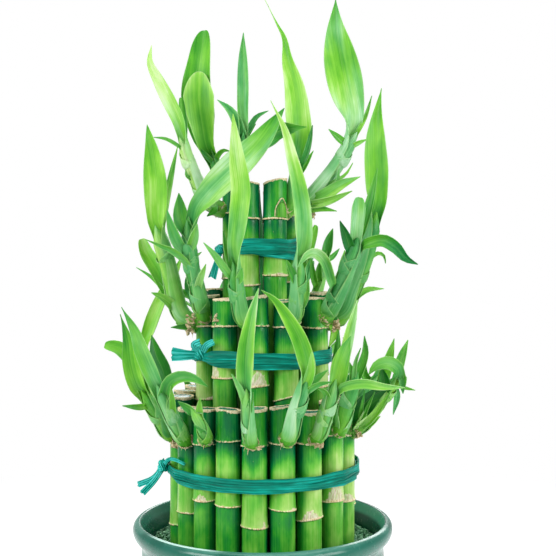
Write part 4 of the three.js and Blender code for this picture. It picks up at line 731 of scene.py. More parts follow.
class Path(Line):
    """A smooth curve through a few points."""

    STEPS = 16

    def __init__(self, points):
        points = [np.array(point, float) for point in points]
        ends = [2 * points[0] - points[1], *points, 2 * points[-1] - points[-2]]
        spans = [self.span(*ends[i:i + 4]) for i in range(len(points) - 1)]
        super().__init__(np.concatenate([*spans, [points[-1]]]))

    def span(self, before, start, end, after):
        gaps = [math.sqrt(np.linalg.norm(q - p)) for p, q in ((before, start), (start, end), (end, after))]
        leave = (start - before) / gaps[0] - (end - before) / (gaps[0] + gaps[1]) + (end - start) / gaps[1]
        arrive = (end - start) / gaps[1] - (after - start) / (gaps[1] + gaps[2]) + (after - end) / gaps[2]
        s = np.linspace(0, 1, self.STEPS, endpoint=False)[:, None]
        return (
            (2 * s**3 - 3 * s**2 + 1) * start + (s**3 - 2 * s**2 + s) * leave * gaps[1]
            + (3 * s**2 - 2 * s**3) * end + (s**3 - s**2) * arrive * gaps[1]
        )


def axes(along, facing):
    """The sideways and outward directions of a path that faces one way."""
    side = unit(np.cross(along, facing))
    return side, unit(np.cross(side, along))


def turned(side, out, along, degrees):
    """The sideways and outward directions turned about the path."""
    angle = np.radians(degrees)[:, None]
    side = side * np.cos(angle) - out * np.sin(angle)
    return side, unit(np.cross(side, along))


def tube(centre, side, out, radius, sides, flat=1.0):
    """Round rings about the points of a path. Flat is how much thinner or thicker they are outwards."""
    angle = circle(sides)
    sideways = radius[:, None] * np.cos(angle)
    outwards = flat * radius[:, None] * np.sin(angle)
    return centre[:, None] + side[:, None] * sideways[..., None] + out[:, None] * outwards[..., None]


def closed(face, back):
    """Rings round a strip, from the columns of its face and those of its back."""
    return np.concatenate([face, back[:, ::-1]], axis=1)


def strip_grain(sideways, reach, rng):
    """Where the rings round a strip read its fibres, which run along it."""
    across = closed(sideways, sideways)
    along = np.broadcast_to(reach[:, None], across.shape)
    return scattered(np.stack([across, np.zeros(across.shape), along], axis=-1), rng)


# Meshes

class Piece:
    """Gathers the closed shells of one piece, with what their materials read of each vertex."""

    def __init__(self, name, materials):
        self.name = name
        self.materials = materials
        self.points = []
        self.faces = []
        self.slots = []
        self.looks = {"tone": [], "cool": [], "across": [], "scar": [], "light": []}
        self.grains = []
        self.count = 0

    def solid(self, points, faces, material=0, grain=None, **looks):
        """Adds one closed body of points and faces, with a look for each point or one for all."""
        self.faces.append(faces + self.count)
        self.slots.append(np.full(len(faces), material))
        self.points.append(points)
        for key, values in self.looks.items():
            values.append(np.broadcast_to(looks.get(key, 0), len(points)))
        self.grains.append(points if grain is None else grain)
        self.count += len(points)

    def shell(self, rings, material=0, grain=None, hoop=False, **looks):
        """Adds rings of points as one closed shell. Its ends are closed with strips, unless it is a hoop."""
        count, sides = rings.shape[:2]
        index = np.arange(count * sides).reshape(count, sides)
        following = np.roll(index, -1, axis=0) if hoop else index[1:]
        here = index if hoop else index[:-1]
        quads = np.stack([here, np.roll(here, -1, 1), np.roll(following, -1, 1), following], axis=-1)
        quads = quads.reshape(-1, 4)
        if not hoop:
            cap = [[j, sides - 1 - j, sides - 2 - j, j + 1] for j in range(sides // 2 - 1)]
            quads = np.concatenate([quads, index[0][cap], index[-1][cap][:, ::-1]])
        points = rings.reshape(-1, 3)
        corners = points[quads]
        halves = [np.cross(corners[:, k], corners[:, k + 1]) for k in (1, 2)]
        if sum(np.einsum("ij,ij->", corners[:, 0], half) for half in halves) < 0:
            quads = quads[:, ::-1]
        flat = {key: np.broadcast_to(value, (count, sides)).reshape(-1) for key, value in looks.items()}
        self.solid(points, quads, material, None if grain is None else grain.reshape(-1, 3), **flat)

    def build(self, node):
        points = np.concatenate(self.points) * MM
        faces = [face for block in self.faces for face in block.tolist()]
        mesh = bpy.data.meshes.new(self.name)
        mesh.from_pydata(points.tolist(), [], faces)
        for material in self.materials:
            mesh.materials.append(material)
        mesh.polygons.foreach_set("material_index", np.concatenate(self.slots).astype(np.int32))
        for key, values in self.looks.items():
            attribute = mesh.attributes.new(key, "FLOAT", "POINT")
            attribute.data.foreach_set("value", np.concatenate(values).astype(np.float32))
        grain = mesh.attributes.new("grain", "FLOAT_VECTOR", "POINT")
        grain.data.foreach_set("vector", np.concatenate(self.grains).astype(np.float32).ravel())
        mesh.shade_smooth()
        mesh.set_sharp_from_angle(angle=SHARP)
        mesh.update()
        piece = bpy.data.objects.new(self.name, mesh)
        bpy.context.scene.collection.objects.link(piece)
        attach(piece, "root")
        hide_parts(node)


# Shoots

class Stem(Path):
    """The path of a stem, with the looks of its shoot."""

    def __init__(self, points, shoot):
        super().__init__(points)
        self.radii = shoot["radius"]
        self.tone = shoot.get("tone", STEM_TONE)
        self.cool = shoot.get("cool", STEM_COOL)
        # The painted shade on the undersides of its leaves
        self.shade = shoot.get("shade", 0)

    def looks(self, reach):
        """Its tone and coolness at a length from its root: fresh green at its foot, its own above."""
        own = smooth(reach, *STEM_OWN)
        return mix(STEM_FOOT_TONE, self.tone, own), mix(STEM_FOOT_COOL, self.cool, own)


def half_width(share, form, foot):
    """A blade's half width: narrow at its foot, widest at its belly, pointed or blunt at its end."""
    half = form["wide"] / 2
    narrow = min(foot / half, 0.8)
    rising = narrow + (1 - narrow) * smooth(share, 0, form["belly"])
    left = np.clip((1 - share) / (1 - form["belly"]), 0, 1)
    falling = left ** form["blunt"] if form["blunt"] else np.sin(left * math.pi / 2) ** form["taper"]
    return half * np.where(share < form["belly"], rising, falling)


def lengthwise(share, values):
    """Values at even steps from a leaf's foot to its tip, read along it."""
    values = np.atleast_1d(values)
    return np.interp(share, np.linspace(0, 1, len(values)), values)


def normals(face, out):
    """The directions square to a sheet of points, on the side where its middle column faces outwards."""
    normal = unit(np.cross(np.gradient(face, axis=1), np.gradient(face, axis=0)))
    outward = np.einsum("ijk,ik->ij", normal, out)[:, face.shape[1] // 2]
    return normal * np.sign(outward)[:, None, None]


def add_leaf(piece, stem, form, main, place, facing, index, rng):
    """One leaf: a sheath rolled round the stem that opens into a thin channelled blade."""
    at = min(form["at"], LAST_START)
    foot = mix(*stem.radii, form["at"])
    kind = BROAD_BLADE if form["wide"] >= BROAD_LEAF else NARROW_BLADE
    sheath = min(SHEATH, SHEATH_SHARE * at * stem.length)
    if main:
        sheath = max(sheath, at * stem.length - SHEATH_LOWEST)
    parts = (1, 0.8, 0.6, 0.4, 0.2) if main else (1, 0.5)
    lower = [stem.at(at - part * sheath / stem.length) for part in parts]
    path = Path([*lower, stem.at(at), *[place(point) for point in form["path"]]])

    # Each row's share of the blade's length, which is below 0 on the sheath
    length = path.length - sheath
    lowest = -sheath / length
    sheath_rows = max(8, int(sheath / SHEATH_ROW))
    rows = int(np.clip(length / BLADE_ROW, 10, 44))
    share = np.concatenate([np.linspace(lowest, 0, sheath_rows)[:-1], np.linspace(0, 1, rows)])
    if form["blunt"]:
        share = np.where(share > 0, np.sin(np.clip(share, 0, 1) * math.pi / 2), share)
    blade = np.clip(share, 0, 1)
    reach = share * length
    on_path = (reach + sheath) / path.length
    centre, along = path.at(on_path), path.along(on_path)

    # A leaf that leans sideways lies over on its back at its foot.
    side, out = axes(along, facing)
    lean = float(np.clip(3 * np.dot(unit(path.at(0.5) - stem.at(at)), side[0]), -1, 1))
    flat_turn = mix(*(form["turn"] or [0, LEAF_TURN if index % 2 else -LEAF_TURN]), blade)
    turn = mix(-LEAN_TURN * lean, flat_turn, smooth(share, 0, 0.35))
    side, out = turned(side, out, along, turn)

    # Half its width along the skin, and half the angle that this bends through
    wide = half_width(blade, form, foot) / np.cos(np.radians(flat_turn))
    skin = mix(*stem.radii, at + np.minimum(reach, 0) / stem.length) + SHEATH_GAP
    skin = skin + SHEATH_LAYER * min(index, SHEATH_LAYERS)
    slips = form["wide"] / 2 < SLIPPING * foot
    mouth = math.asin(min(wide[0] / skin[0], 1)) if slips else SHEATH_MOUTH_ARC
    hold = mix(SHEATH_FOOT_ARC, mouth, smooth(share, lowest, 0))
    if slips:
        half = np.where(share < 0, skin * np.sin(np.minimum(hold, math.pi / 2)), wide)
    else:
        half = mix(skin, wide, smooth(share, 0, kind["own_width"]))
    half = np.maximum(half - 0.6 * (1 - smooth(share, lowest, 0.8 * lowest)), 0.12)
    arc = mix(hold, kind["arc"], smooth(share, 0 if slips else -0.03, kind["opened"]))
    radius = half / np.sin(np.minimum(arc, math.pi / 2))
    sink = radius * (1 - smooth(share, 0, 0.22))

    # Its face, rippled at its edges and creased along its middle, and its back
    u = np.linspace(-1, 1, kind["columns"])
    ripple = rng.uniform(0.12, 0.3) * form["wide"] / 8 * smooth(share, 0.1, 0.3) * smooth(1 - share, 0, 0.15)
    wave = ripple * np.sin(reach / rng.uniform(4, 6) + rng.uniform(0, 6))
    crease = BLADE_CREASE * half * smooth(share, 0.05, 0.3)
    angle = arc[:, None] * u
    sideways = radius[:, None] * np.sin(angle)
    outwards = radius[:, None] * (1 - np.cos(angle)) - sink[:, None] + wave[:, None] * u**2 * np.sign(u)
    outwards = outwards + crease[:, None] * np.abs(u)
    face = centre[:, None] + side[:, None] * sideways[..., None] + out[:, None] * outwards[..., None]
    thickness = BLADE_THICKNESS * mix(1, 0.45, np.abs(u)) * mix(1, 0.5, smooth(blade, 0.8, 1))[:, None]
    back = face - normals(face, out) * thickness[..., None]

    # Its looks, which come from those of the stem where it leaves
    drawn = float(np.clip(rng.normal(LEAF_TONE, 0.09), 0.35, 0.8))
    tones = [drawn, drawn, drawn - 0.05] if form["tone"] is None else form["tone"]
    stem_tone, stem_cool = stem.looks(at * stem.length + np.minimum(reach, 0))
    tone = mix(stem_tone + 0.04, lengthwise(blade, tones), smooth(share, -0.04, 0.2))[:, None]
    cool = mix(stem_cool, lengthwise(blade, form["cool"]), smooth(share, -0.04, 0.25))[:, None]
    across = np.concatenate([u, u[::-1]])
    margin = form["margin"] * smooth(share, 0.05, 0.2)[:, None] * np.abs(across) ** 2.5
    underside = np.repeat([0.0, 1.0], len(u))
    # A shoot at the back gets painted shade on its undersides
    piece.shell(
        closed(face, back), LEAF_SLOT, strip_grain(sideways, reach, rng),
        tone=tone + (UNDERSIDE_TONE - stem.shade) * underside + margin,
        cool=cool + UNDERSIDE_COOL * underside, across=across,
    )


def add_stem(piece, stem, facing, rng):
    """The stem inside the sheaths: swollen at its foot, with fine lines at its joints and a pointed end."""
    share = np.linspace(0, 1, int(np.clip(stem.length / STEM_ROW, 24, 80)))
    reach = share * stem.length
    joint = (reach - 6) % rng.uniform(4.5, 6)
    lines = bell(joint, 0, 0.5) * (reach > 9)
    radius = mix(*stem.radii, share) - 0.15 + 0.35 * bell(reach, 8.5, 2.5) - 0.03 * lines
    centre = stem.at(share)
    along = stem.along(share)

    # Its point, in a few steps past its end
    tips = np.linspace(0.2, 1, 5)
    onward = tips * STEM_POINT * stem.radii[1]
    centre = np.concatenate([centre, centre[-1] + along[-1] * onward[:, None]])
    along = np.concatenate([along, np.repeat(along[-1:], len(tips), 0)])
    radius = np.concatenate([radius, radius[-1] * np.maximum(1 - tips, 0.03) ** 0.8])
    reach = np.concatenate([reach, reach[-1] + onward])
    lines = np.concatenate([lines, np.zeros(len(tips))])

    rings = tube(centre, *axes(along, facing), radius, STEM_SIDES)
    grain = scattered(round_z(radius[:, None], circle(STEM_SIDES), reach[:, None]), rng)
    tone, cool = stem.looks(reach)
    piece.shell(rings, LEAF_SLOT, grain, tone=(tone + 0.03 * lines)[:, None], cool=cool[:, None], across=0.4)


def add_spike(piece, start, end, bend, radius, rng, flat=1.0):
    """A short dry scale or rootlet from start to end."""
    share = np.linspace(0, 1, 5)
    path = Path([start, (start + end) / 2 + bend, end])
    width = radius * np.maximum(1 - share**1.5, 0.06)
    rings = tube(path.at(share), *axes(path.along(share), SPIKE_FACING), width, SPIKE_SIDES, flat)
    piece.shell(rings, LEAF_SLOT, scattered(rings, rng), tone=0.5, scar=1)


def add_collar(piece, stem, facing, rng):
    """The dry ragged ring where a shoot breaks out of its cane, with torn scales and a few rootlets."""
    foot = stem.radii[0]
    angle = circle(COLLAR_SIDES)
    for reach in COLLAR_REACHES:
        centre, along = stem.at(reach / stem.length), stem.along(reach / stem.length)
        side, out = axes(along, facing)
        radial = side * np.cos(angle)[:, None] + out * np.sin(angle)[:, None]
        line = centre + radial * (foot + 0.05 + 0.4 * wander(rng, 6)(2 * angle))[:, None]
        line = line + along * (1.1 * wander(rng, 6)(2 * angle))[:, None]
        thick = np.maximum(0.26 + 0.34 * wander(rng, 6)(3 * angle), 0.05)
        torn = np.clip(0.52 + 0.4 * wander(rng, 6)(3 * angle), 0, 1)
        rings = tube(line, radial, along[None], thick, SPIKE_SIDES, 1.3)
        piece.shell(rings, LEAF_SLOT, scattered(rings, rng), hoop=True, tone=0.45, scar=torn[:, None])

    def outward():
        turn = rng.uniform(0, TURN)
        return side * math.cos(turn) + out * math.sin(turn)

    for _ in range(COLLAR_SCALES):
        away = outward()
        start = centre + away * (foot - 0.35) - along * 0.5
        end = centre + away * (foot + rng.uniform(0, 0.35)) + along * rng.uniform(0.8, 2.6)
        add_spike(piece, start, end, away * 0.15, rng.uniform(0.5, 1), rng, flat=0.3)
    for _ in range(ROOTLETS):
        away = outward()
        start = centre + away * (foot - 0.3)
        drop = UP * rng.uniform(0.3, 2.2)
        add_spike(piece, start, start + away * rng.uniform(0.6, 1.8) - drop, away * 0.5, 0.2, rng)


def add_crumple(piece, point, reach, rng):
    """A crumpled scar: short dry scales of all directions in a small space round a seen point."""
    centre = seen(point)
    for _ in range(CRUMPLE_SCALES):
        start = centre + np.array(reach) * rng.uniform(-1, 1, 3)
        end = start + rng.normal(size=3) * [0.8, 0.8, 1.1]
        add_spike(piece, start, end, rng.normal(size=3) * 0.4, rng.uniform(0.6, 1.2), rng, flat=0.7)


def add_shoot(piece, shoot, root, place, facing, rng):
    stem = Stem([root, *[place(point) for point in shoot["stem"]]], shoot)
    add_stem(piece, stem, facing, rng)
    add_collar(piece, stem, facing, rng)
    main = max(shoot["leaves"], key=lambda form: (form["at"] >= MAIN_START) * form["wide"])
    for index, form in enumerate(shoot["leaves"]):
        add_leaf(piece, stem, form, form is main, place, facing, index, rng)


def add_back_shoot(piece, name, cane, root, habit, mirror, scale, rng):
    """A shoot with one of the habits, turned to face away from the tower's axis."""
    out = round_z(1, cane["angle"] - math.pi / 2, 0)
    side = round_z(1, cane["angle"], 0)

    def place(point):
        spot = root + side * point[0] * mirror + out * point[1]
        spot[2] = root[2] + point[2] * scale
        return spot

    # The undersides of a shoot at the back are darkened with painted shade
    shoot = HABITS[habit] | {"shade": UNDERSIDE_SHADES.get(name, BACK_SHADE)}
    add_shoot(piece, shoot, root, place, out, rng)


# Canes

def lay_out_canes():
    """Every cane with its place and heights, by name."""
    canes = {}
    for tier, ring in TIERS.items():
        for number, (degrees, top, nodes) in enumerate(ring["canes"], 1):
            angle = math.radians(degrees)
            x = ring["shift"] + ring["ring"] * math.sin(angle)
            y = -ring["ring"] * math.cos(angle)
            canes[f"{tier}_{number:02d}"] = dict(tier=tier, angle=angle, top=top, nodes=nodes, x=x, y=y)
    return canes


def cane_heights(nodes, top):
    """Heights for a cane's rings: close together at its nodes and its cut."""
    heights = {CANE_FOOT, *[top - step for step in TOP_STEPS]}
    heights.update(range(CANE_FOOT + 10, int(top) - 4, CANE_STEP))
    for node in nodes:
        heights = {z for z in heights if not node - 3.5 < z < node + 12.5 or z > top - 3.2}
        heights.update(node + step for step in NODE_STEPS if node + step < top - 3.2)
    return np.array(sorted(heights), float)


class Skin:
    """The rings of a cane, with the radius, height, tone, scar and dryness of each point."""

    def __init__(self, name, cane, rng):
        self.name = name
        self.cane = cane
        self.rng = rng
        self.z = cane_heights(cane["nodes"], cane["top"])
        self.angle = circle(CANE_SIDES)
        self.front = self.angle + math.pi / 2
        size = (len(self.z), CANE_SIDES)
        radius = CANE_RADIUS * rng.uniform(0.985, 1.015)
        oval = 1 + 0.012 * np.cos(2 * self.angle + rng.uniform(0, 6))
        self.radius = np.full(size, radius) * oval
        self.height = np.repeat(self.z[:, None], CANE_SIDES, 1)
        self.tone = np.full(size, CANE_TONE)
        self.scar = np.zeros(size)
        self.dry = np.zeros(size)
        self.wave = wander(rng)

    def slant(self, own, usual):
        """How much higher or lower a cut or a node is, round the cane."""
        rise, towards = own.get(self.name, (usual, self.rng.uniform(0, 360)))
        return rise * np.cos(self.front - math.radians(towards))

    def add_node(self, which, node):
        """A node: a ring with a scar over a fine groove. Which is 0 for the upper one and 1 for the lower."""
        from_node = self.z - node
        tilt = self.slant(NODE_SLANTS if which else {}, NODE_SLANT[which]) + 0.15 * self.wave(2 * self.angle)
        self.height += tilt * np.exp(-np.abs(from_node) / 6)[:, None]
        # The swelling above the node, the ridge at its foot, the groove under it, and the scar line
        self.radius += (NODE_SWELL * np.exp(-np.maximum(from_node, 0) / 3.5) * (from_node > -0.5))[:, None]
        self.radius += (0.22 * bell(from_node, 0.1, 0.35))[:, None]
        self.radius -= (0.14 * bell(from_node, -0.8, 0.45))[:, None]
        strength = 0.85 if which or self.cane["tier"] != "lower" else 0.6
        line = bell(from_node, 0.1, 0.45)[:, None]
        self.scar = np.maximum(self.scar, line * (strength + 0.35 * wander(self.rng)(self.angle)))
        self.add_flap(which, from_node)
        self.shade_node(which, from_node)

    def add_flap(self, which, from_node):
        """The torn rest of a leaf sheath that stands up from a node."""
        above = np.maximum(from_node, 0)[:, None]
        limits = ((-180, 180), FLAP_SPREADS[which], FLAP_RISES[which])
        drawn = [self.rng.uniform(*pair) for pair in limits]
        turn, spread, rise = FLAPS.get(self.name, drawn) if which else drawn
        off = wrapped(self.front - math.radians(turn)) + 0.12 * wander(self.rng, 6)(3 * self.angle)
        reach = rise * np.clip(1 - np.abs(off) / math.radians(spread), 0, 1) ** 0.7
        flap = smooth(reach - above, -0.5, 0.9) * (from_node > -0.3)[:, None] * smooth(reach, 0.2, 0.8)
        self.scar = np.maximum(self.scar, flap)
        self.dry = np.maximum(self.dry, flap * smooth(above, 0.3, 1.2))
        self.radius += 0.14 * flap * (above > 0.3)

    def shade_node(self, which, from_node):
        """The dark skin under a node, and the pale skin over the lower one or well below the upper one."""
        below = np.maximum(-from_node, 0)[:, None] * (1.05 + 0.8 * wander(self.rng)(self.angle))
        depth = DARK_BELOW[which] * self.rng.uniform(0.8, 1.2)
        self.tone -= NODE_DARK[which] * np.exp(-((below / depth) ** 2.4)) * (from_node <= 0)[:, None]
        if which:
            self.tone += 0.2 * np.exp(-np.maximum(from_node, 0)[:, None] / 9) * (from_node > 0)[:, None]
        else:
            self.tone += 0.07 * bell(-from_node[:, None], 1.4 * depth, 6) * (1 + wander(self.rng)(self.angle))

    def shade(self):
        """The cane's tone along its length, and the painted shade between the canes and on the inside."""
        upper, lower = self.cane["nodes"]
        top = self.cane["top"]
        self.tone -= 0.26 * smooth(self.z, upper - 1, upper + 1)[:, None]
        self.tone -= 0.1 * smooth(self.z, top - 5, top)[:, None]
        self.tone -= 0.08 * (1 - smooth(self.z, lower - 30, lower))[:, None]
        own = self.rng.uniform(-0.05, 0.05)
        self.tone += 0.06 * self.wave(self.angle + 1) + own + SHADES.get(self.name, 0)
        # Painted shade on the sides that face the neighbouring canes and on the inside of the tier
        from_outside = np.abs(wrapped(self.front - self.cane["angle"]))
        self.tone -= CREVICE_SHADE * smooth(from_outside, 0.8, 1.5) + INNER_SHADE * smooth(from_outside, 1.7, 2.4)

    def cut(self):
        """The cut at its top, a little slanted, with a torn rim."""
        top = self.cane["top"]
        rise = self.slant(TOP_SLANTS, TOP_SLANT) + 0.12 * wander(self.rng)(3 * self.angle)
        self.height += rise * smooth(self.z, top - 5, top)[:, None]
        rim = smooth(self.z[:, None] + 0.7 * wander(self.rng, 6)(2 * self.angle), top - 1.5, top - 0.9)
        self.scar = np.maximum(self.scar, rim)
        self.dry = np.maximum(self.dry, 0.35 * rim)
        self.radius += 0.12 * rim


def add_cane(piece, name, cane, rng):
    """A straight cane: smooth between its ringed nodes with torn sheath rests, and sealed at its cut top."""
    skin = Skin(name, cane, rng)
    for which, node in enumerate(cane["nodes"]):
        skin.add_node(which, node)
    skin.shade()
    skin.cut()
    axis = np.array([cane["x"], cane["y"], 0])
    rings = axis + round_z(skin.radius, skin.angle, skin.height)

    # The lid: a pale rim, then a wax seal sunk a little below it
    bumps = wander(rng, 6)(skin.angle * 2)
    slanted = skin.height[-1] - cane["top"]
    lid = axis + np.array([
        round_z(skin.radius[-1] * part, skin.angle, cane["top"] + slanted * part + rise + 0.12 * bumps * part)
        for part, rise, _ in LID
    ])
    lid_scar = np.outer([torn for _, _, torn in LID], np.ones(CANE_SIDES))
    piece.shell(
        np.concatenate([rings, lid]), SKIN_SLOT,
        np.concatenate([scattered(rings - axis, rng), lid - axis + NOISE_ROOM / 2]),
        tone=np.concatenate([np.clip(skin.tone, 0, 1), np.full(lid_scar.shape, WAX)]),
        scar=np.concatenate([skin.scar, lid_scar]), cool=np.concatenate([skin.dry, np.zeros(lid_scar.shape)]),
    )


def on_cane(cane, turn, height, lift=0.0):
    """A place on a cane's skin, by its turn from the cane's front in radians."""
    reach = CANE_RADIUS + lift
    return np.array([cane["x"] + reach * math.sin(turn), cane["y"] - reach * math.cos(turn), height])


def add_bud(piece, cane, turn, height, size, rng):
    """A sleeping bud pressed to its cane under the arched scar of its leaf."""
    middle = math.radians(turn)
    spread = 0.5 * size / CANE_RADIUS
    for grow, lift, radius, tone, scar in BUD_ARCHES:
        arch = Path([
            on_cane(cane, middle + grow * spread * off, height + grow * size * up, lift)
            for off, up in BUD_ARCH
        ])
        share = np.linspace(0, 1, 30)
        centre = arch.at(share)
        outward = unit(centre - [cane["x"], cane["y"], 0])
        outward[:, 2] = 0
        inward = unit(np.cross(arch.along(share), outward))
        rings = tube(centre, unit(outward), inward, np.full(len(share), radius), SPIKE_SIDES)
        piece.shell(rings, LEAF_SLOT, scattered(rings, rng), tone=tone, scar=scar)
    share = np.linspace(0, 1, 11)
    width = 0.36 * size * np.maximum(1 - share**2.4, 0.002) ** 0.6
    outward = unit(on_cane(cane, middle, 0, 1) - on_cane(cane, middle, 0))
    centre = on_cane(cane, middle, height, -0.35) + UP * (share * size * 1.08)[:, None]
    rings = tube(centre, np.cross(UP, outward)[None], outward[None], width, STEM_SIDES, 0.5)
    piece.shell(rings, LEAF_SLOT, scattered(rings, rng), tone=0.42, cool=0.3, across=0.4)


def make_cane(name, cane, materials, rng):
    """A cane with its shoots, scars and bud, as one piece."""
    piece = Piece(f"plant_{name}", materials)
    add_cane(piece, name, cane, rng)
    root = np.array([cane["x"], cane["y"], cane["nodes"][0]])
    for shoot in SHOOTS:
        if shoot["cane"] == name:
            add_shoot(piece, shoot, root, seen, FRONT, rng)
    for back_name, habit, mirror, scale in BACK_SHOOTS:
        if back_name == name:
            add_back_shoot(piece, name, cane, root, habit, mirror, scale, rng)
    for crumpled_name, point, reach in CRUMPLES:
        if crumpled_name == name:
            add_crumple(piece, point, reach, rng)
    if name == BUD_CANE:
        add_bud(piece, cane, *BUD, rng)
    piece.build(f"leafy_cane_{name}")


# Raffia

def hull_line(canes, clear, steps):
    """Even points along a cord pulled round the outside of a tier, and the outward direction at each."""
    angle = np.linspace(0, TURN, HULL_STEPS, endpoint=False)
    direction = round_z(1, angle, 0)
    feet = np.array([[cane["x"], cane["y"], 0] for cane in canes])
    points = feet[np.argmax(feet @ direction.T, axis=0)] + direction * clear
    line = Line(np.concatenate([points, points[:1]]))
    share = np.arange(steps) / steps
    spots = line.at(share)
    outward = unit(np.cross(np.roll(spots, -1, 0) - np.roll(spots, 1, 0), UP))
    return spots, outward, share * line.length


def add_ribbon(piece, face, out, sideways, reach, tone, rng, hoop=False):
    """A thin strip from the points of its face and the outward direction at each row, fibred along it. Its
    tone carries the painted shade and sheen of its pleats.
    """
    back = face - out[:, None] * STRAND_THICKNESS
    piece.shell(closed(face, back), 0, strip_grain(sideways, reach, rng), hoop, tone=closed(tone, tone))


def add_band(piece, canes, tie, rng):
    """The strands of a tie, lying over each other round the tier and gathered at the knot."""
    spots, outward, reach = hull_line(canes, CANE_RADIUS + BAND_GAP, TIE_STEPS)
    knot = seen(tie["knot"])
    turn = np.arctan2(spots[:, 1], spots[:, 0])
    away = np.abs(wrapped(turn - math.atan2(knot[1], knot[0])))
    gather = tie["gather"] + (1 - tie["gather"]) * smooth(away, 0.05, tie["spread"])
    wide = mix(*tie["wide"], (1 + np.cos(turn)) / 2) * gather
    v = np.linspace(-1, 1, STRAND_COLUMNS)
    for k in range(STRANDS):
        # Its place and width within the tie, how far out it lies, and its own pleats
        level = (k + 0.5) / STRANDS - 0.5
        middle = wide * (level * 0.74 + 0.09 * wander(rng)(turn * 2))
        half = wide / STRANDS * (0.8 + 0.2 * wander(rng, 6)(turn * 3))
        lift = 0.25 + 0.42 * ((k * 2) % STRANDS) + 0.22 * wander(rng)(turn * 3)
        folds = rng.uniform(1.2, 2.6)
        slip = 2.2 * wander(rng)(turn * 2) + rng.uniform(0, 6)
        deep = 0.5 + 0.5 * wander(rng)(turn * 3)
        wrinkle = np.sin(math.pi * folds * v + slip[:, None])
        finer = np.sin(math.pi * 2.7 * folds * v - 1.7 * slip[:, None])
        pleat = gather[:, None] * deep[:, None] * (0.34 * wrinkle + 0.1 * finer)
        depth = lift[:, None] + pleat + 0.25 * (1 - v**2)
        up = tie["height"] + middle[:, None] + half[:, None] * v
        face = spots[:, None] + outward[:, None] * depth[..., None] + UP * up[..., None]
        # Its tone rises on the ridges of its pleats and falls in their hollows: painted sheen and painted
        # shade
        add_ribbon(piece, face, outward, half[:, None] * v, reach, 0.55 + 0.45 * pleat, rng, hoop=True)


def add_strip(piece, path, wide, rng):
    """A loose strip of raffia, pleated along its length, with a ragged end."""
    share = np.linspace(0, 1, int(np.clip(path.length / STRIP_ROW, 12, 70)))
    rows = share[:, None]
    v = np.linspace(-1, 1, STRIP_COLUMNS)
    longer = rows**8 * (STRIP_FRAY * wander(rng, 6)(v * 3)) * 0.06
    along = path.along(share)
    side, out = axes(along, FRONT)
    sideways = mix(*wide, rows) / 2 * v
    pleat = 0.32 * mix(0.5, 1, rows) * np.sin(math.pi * STRIP_FOLDS * v + 2 * rows + rng.uniform(0, 6))
    face = (
        path.at(share)[:, None] + side[:, None] * sideways[..., None] + out[:, None] * pleat[..., None]
        + along[:, None] * (longer * path.length)[..., None]
    )
    # Its tone rises on the ridges of its pleats and falls in their hollows: painted sheen and painted shade
    add_ribbon(piece, face, out, sideways, share * path.length, LOOSE_SHEEN_TONE + 0.5 * pleat, rng)


def add_wrap(piece, centre, axis, size, wide, rng):
    """One turn of a knot: a band of raffia pulled round an axis."""
    axis = unit(np.array(axis, float))
    first = unit(np.cross(axis, [0.2, 0.9, 0.1]))
    second = np.cross(axis, first)
    angle = circle(WRAP_STEPS)
    v = np.linspace(-1, 1, WRAP_COLUMNS)
    squeeze = 1 + 0.2 * wander(rng)(angle)
    radial = first * np.cos(angle)[:, None] + second * np.sin(angle)[:, None]
    pleat = 0.26 * np.sin(math.pi * 2.5 * v + wander(rng)(angle)[:, None] * 2 + rng.uniform(0, 6))
    depth = (size * squeeze)[:, None] * (1 - 0.2 * v**2) + pleat
    sideways = wide / 2 * v * (1 + 0.2 * wander(rng)(angle))[:, None]
    drift = 0.15 * size * wander(rng)(angle)
    face = centre + radial[:, None] * depth[..., None] + axis * (sideways + drift[:, None])[..., None]
    # Its tone rises on the ridges of its pleats and falls in their hollows: painted sheen and painted shade
    add_ribbon(piece, face, radial, sideways, angle * size, KNOT_SHEEN_TONE + 0.7 * pleat, rng, hoop=True)


def make_tie(tier, tie, canes, raffia):
    rng = np.random.default_rng(len(tier) + 40)
    piece = Piece(f"raffia_{tier}", [raffia])
    add_band(piece, [cane for cane in canes.values() if cane["tier"] == tier], tie, rng)
    for axis, grow, wide in KNOT_TURNS:
        add_wrap(piece, seen(tie["knot"]), axis, tie["size"] * grow, tie["size"] * wide, rng)
    for strip in tie["strips"]:
        add_strip(piece, Path([seen(point) for point in strip["path"]]), strip["wide"], rng)
    piece.build(f"raffia_tie_{tier}")


# The pot and its gravel

def add_lathe(piece, profile, sides, **looks):
    """A body turned about the Z axis from a closed outline of [radius, height] points."""
    outline = np.array(profile, float)
    piece.shell(round_z(outline[:, 0], circle(sides)[:, None], outline[:, 1]), hoop=True, **looks)


def rounded(points, steps):
    """A smooth line through outline points, as steps + 1 of its points."""
    path = Path([[radius, height, 0] for radius, height in points])
    return path.at(np.linspace(0, 1, steps + 1))[:, :2].tolist()


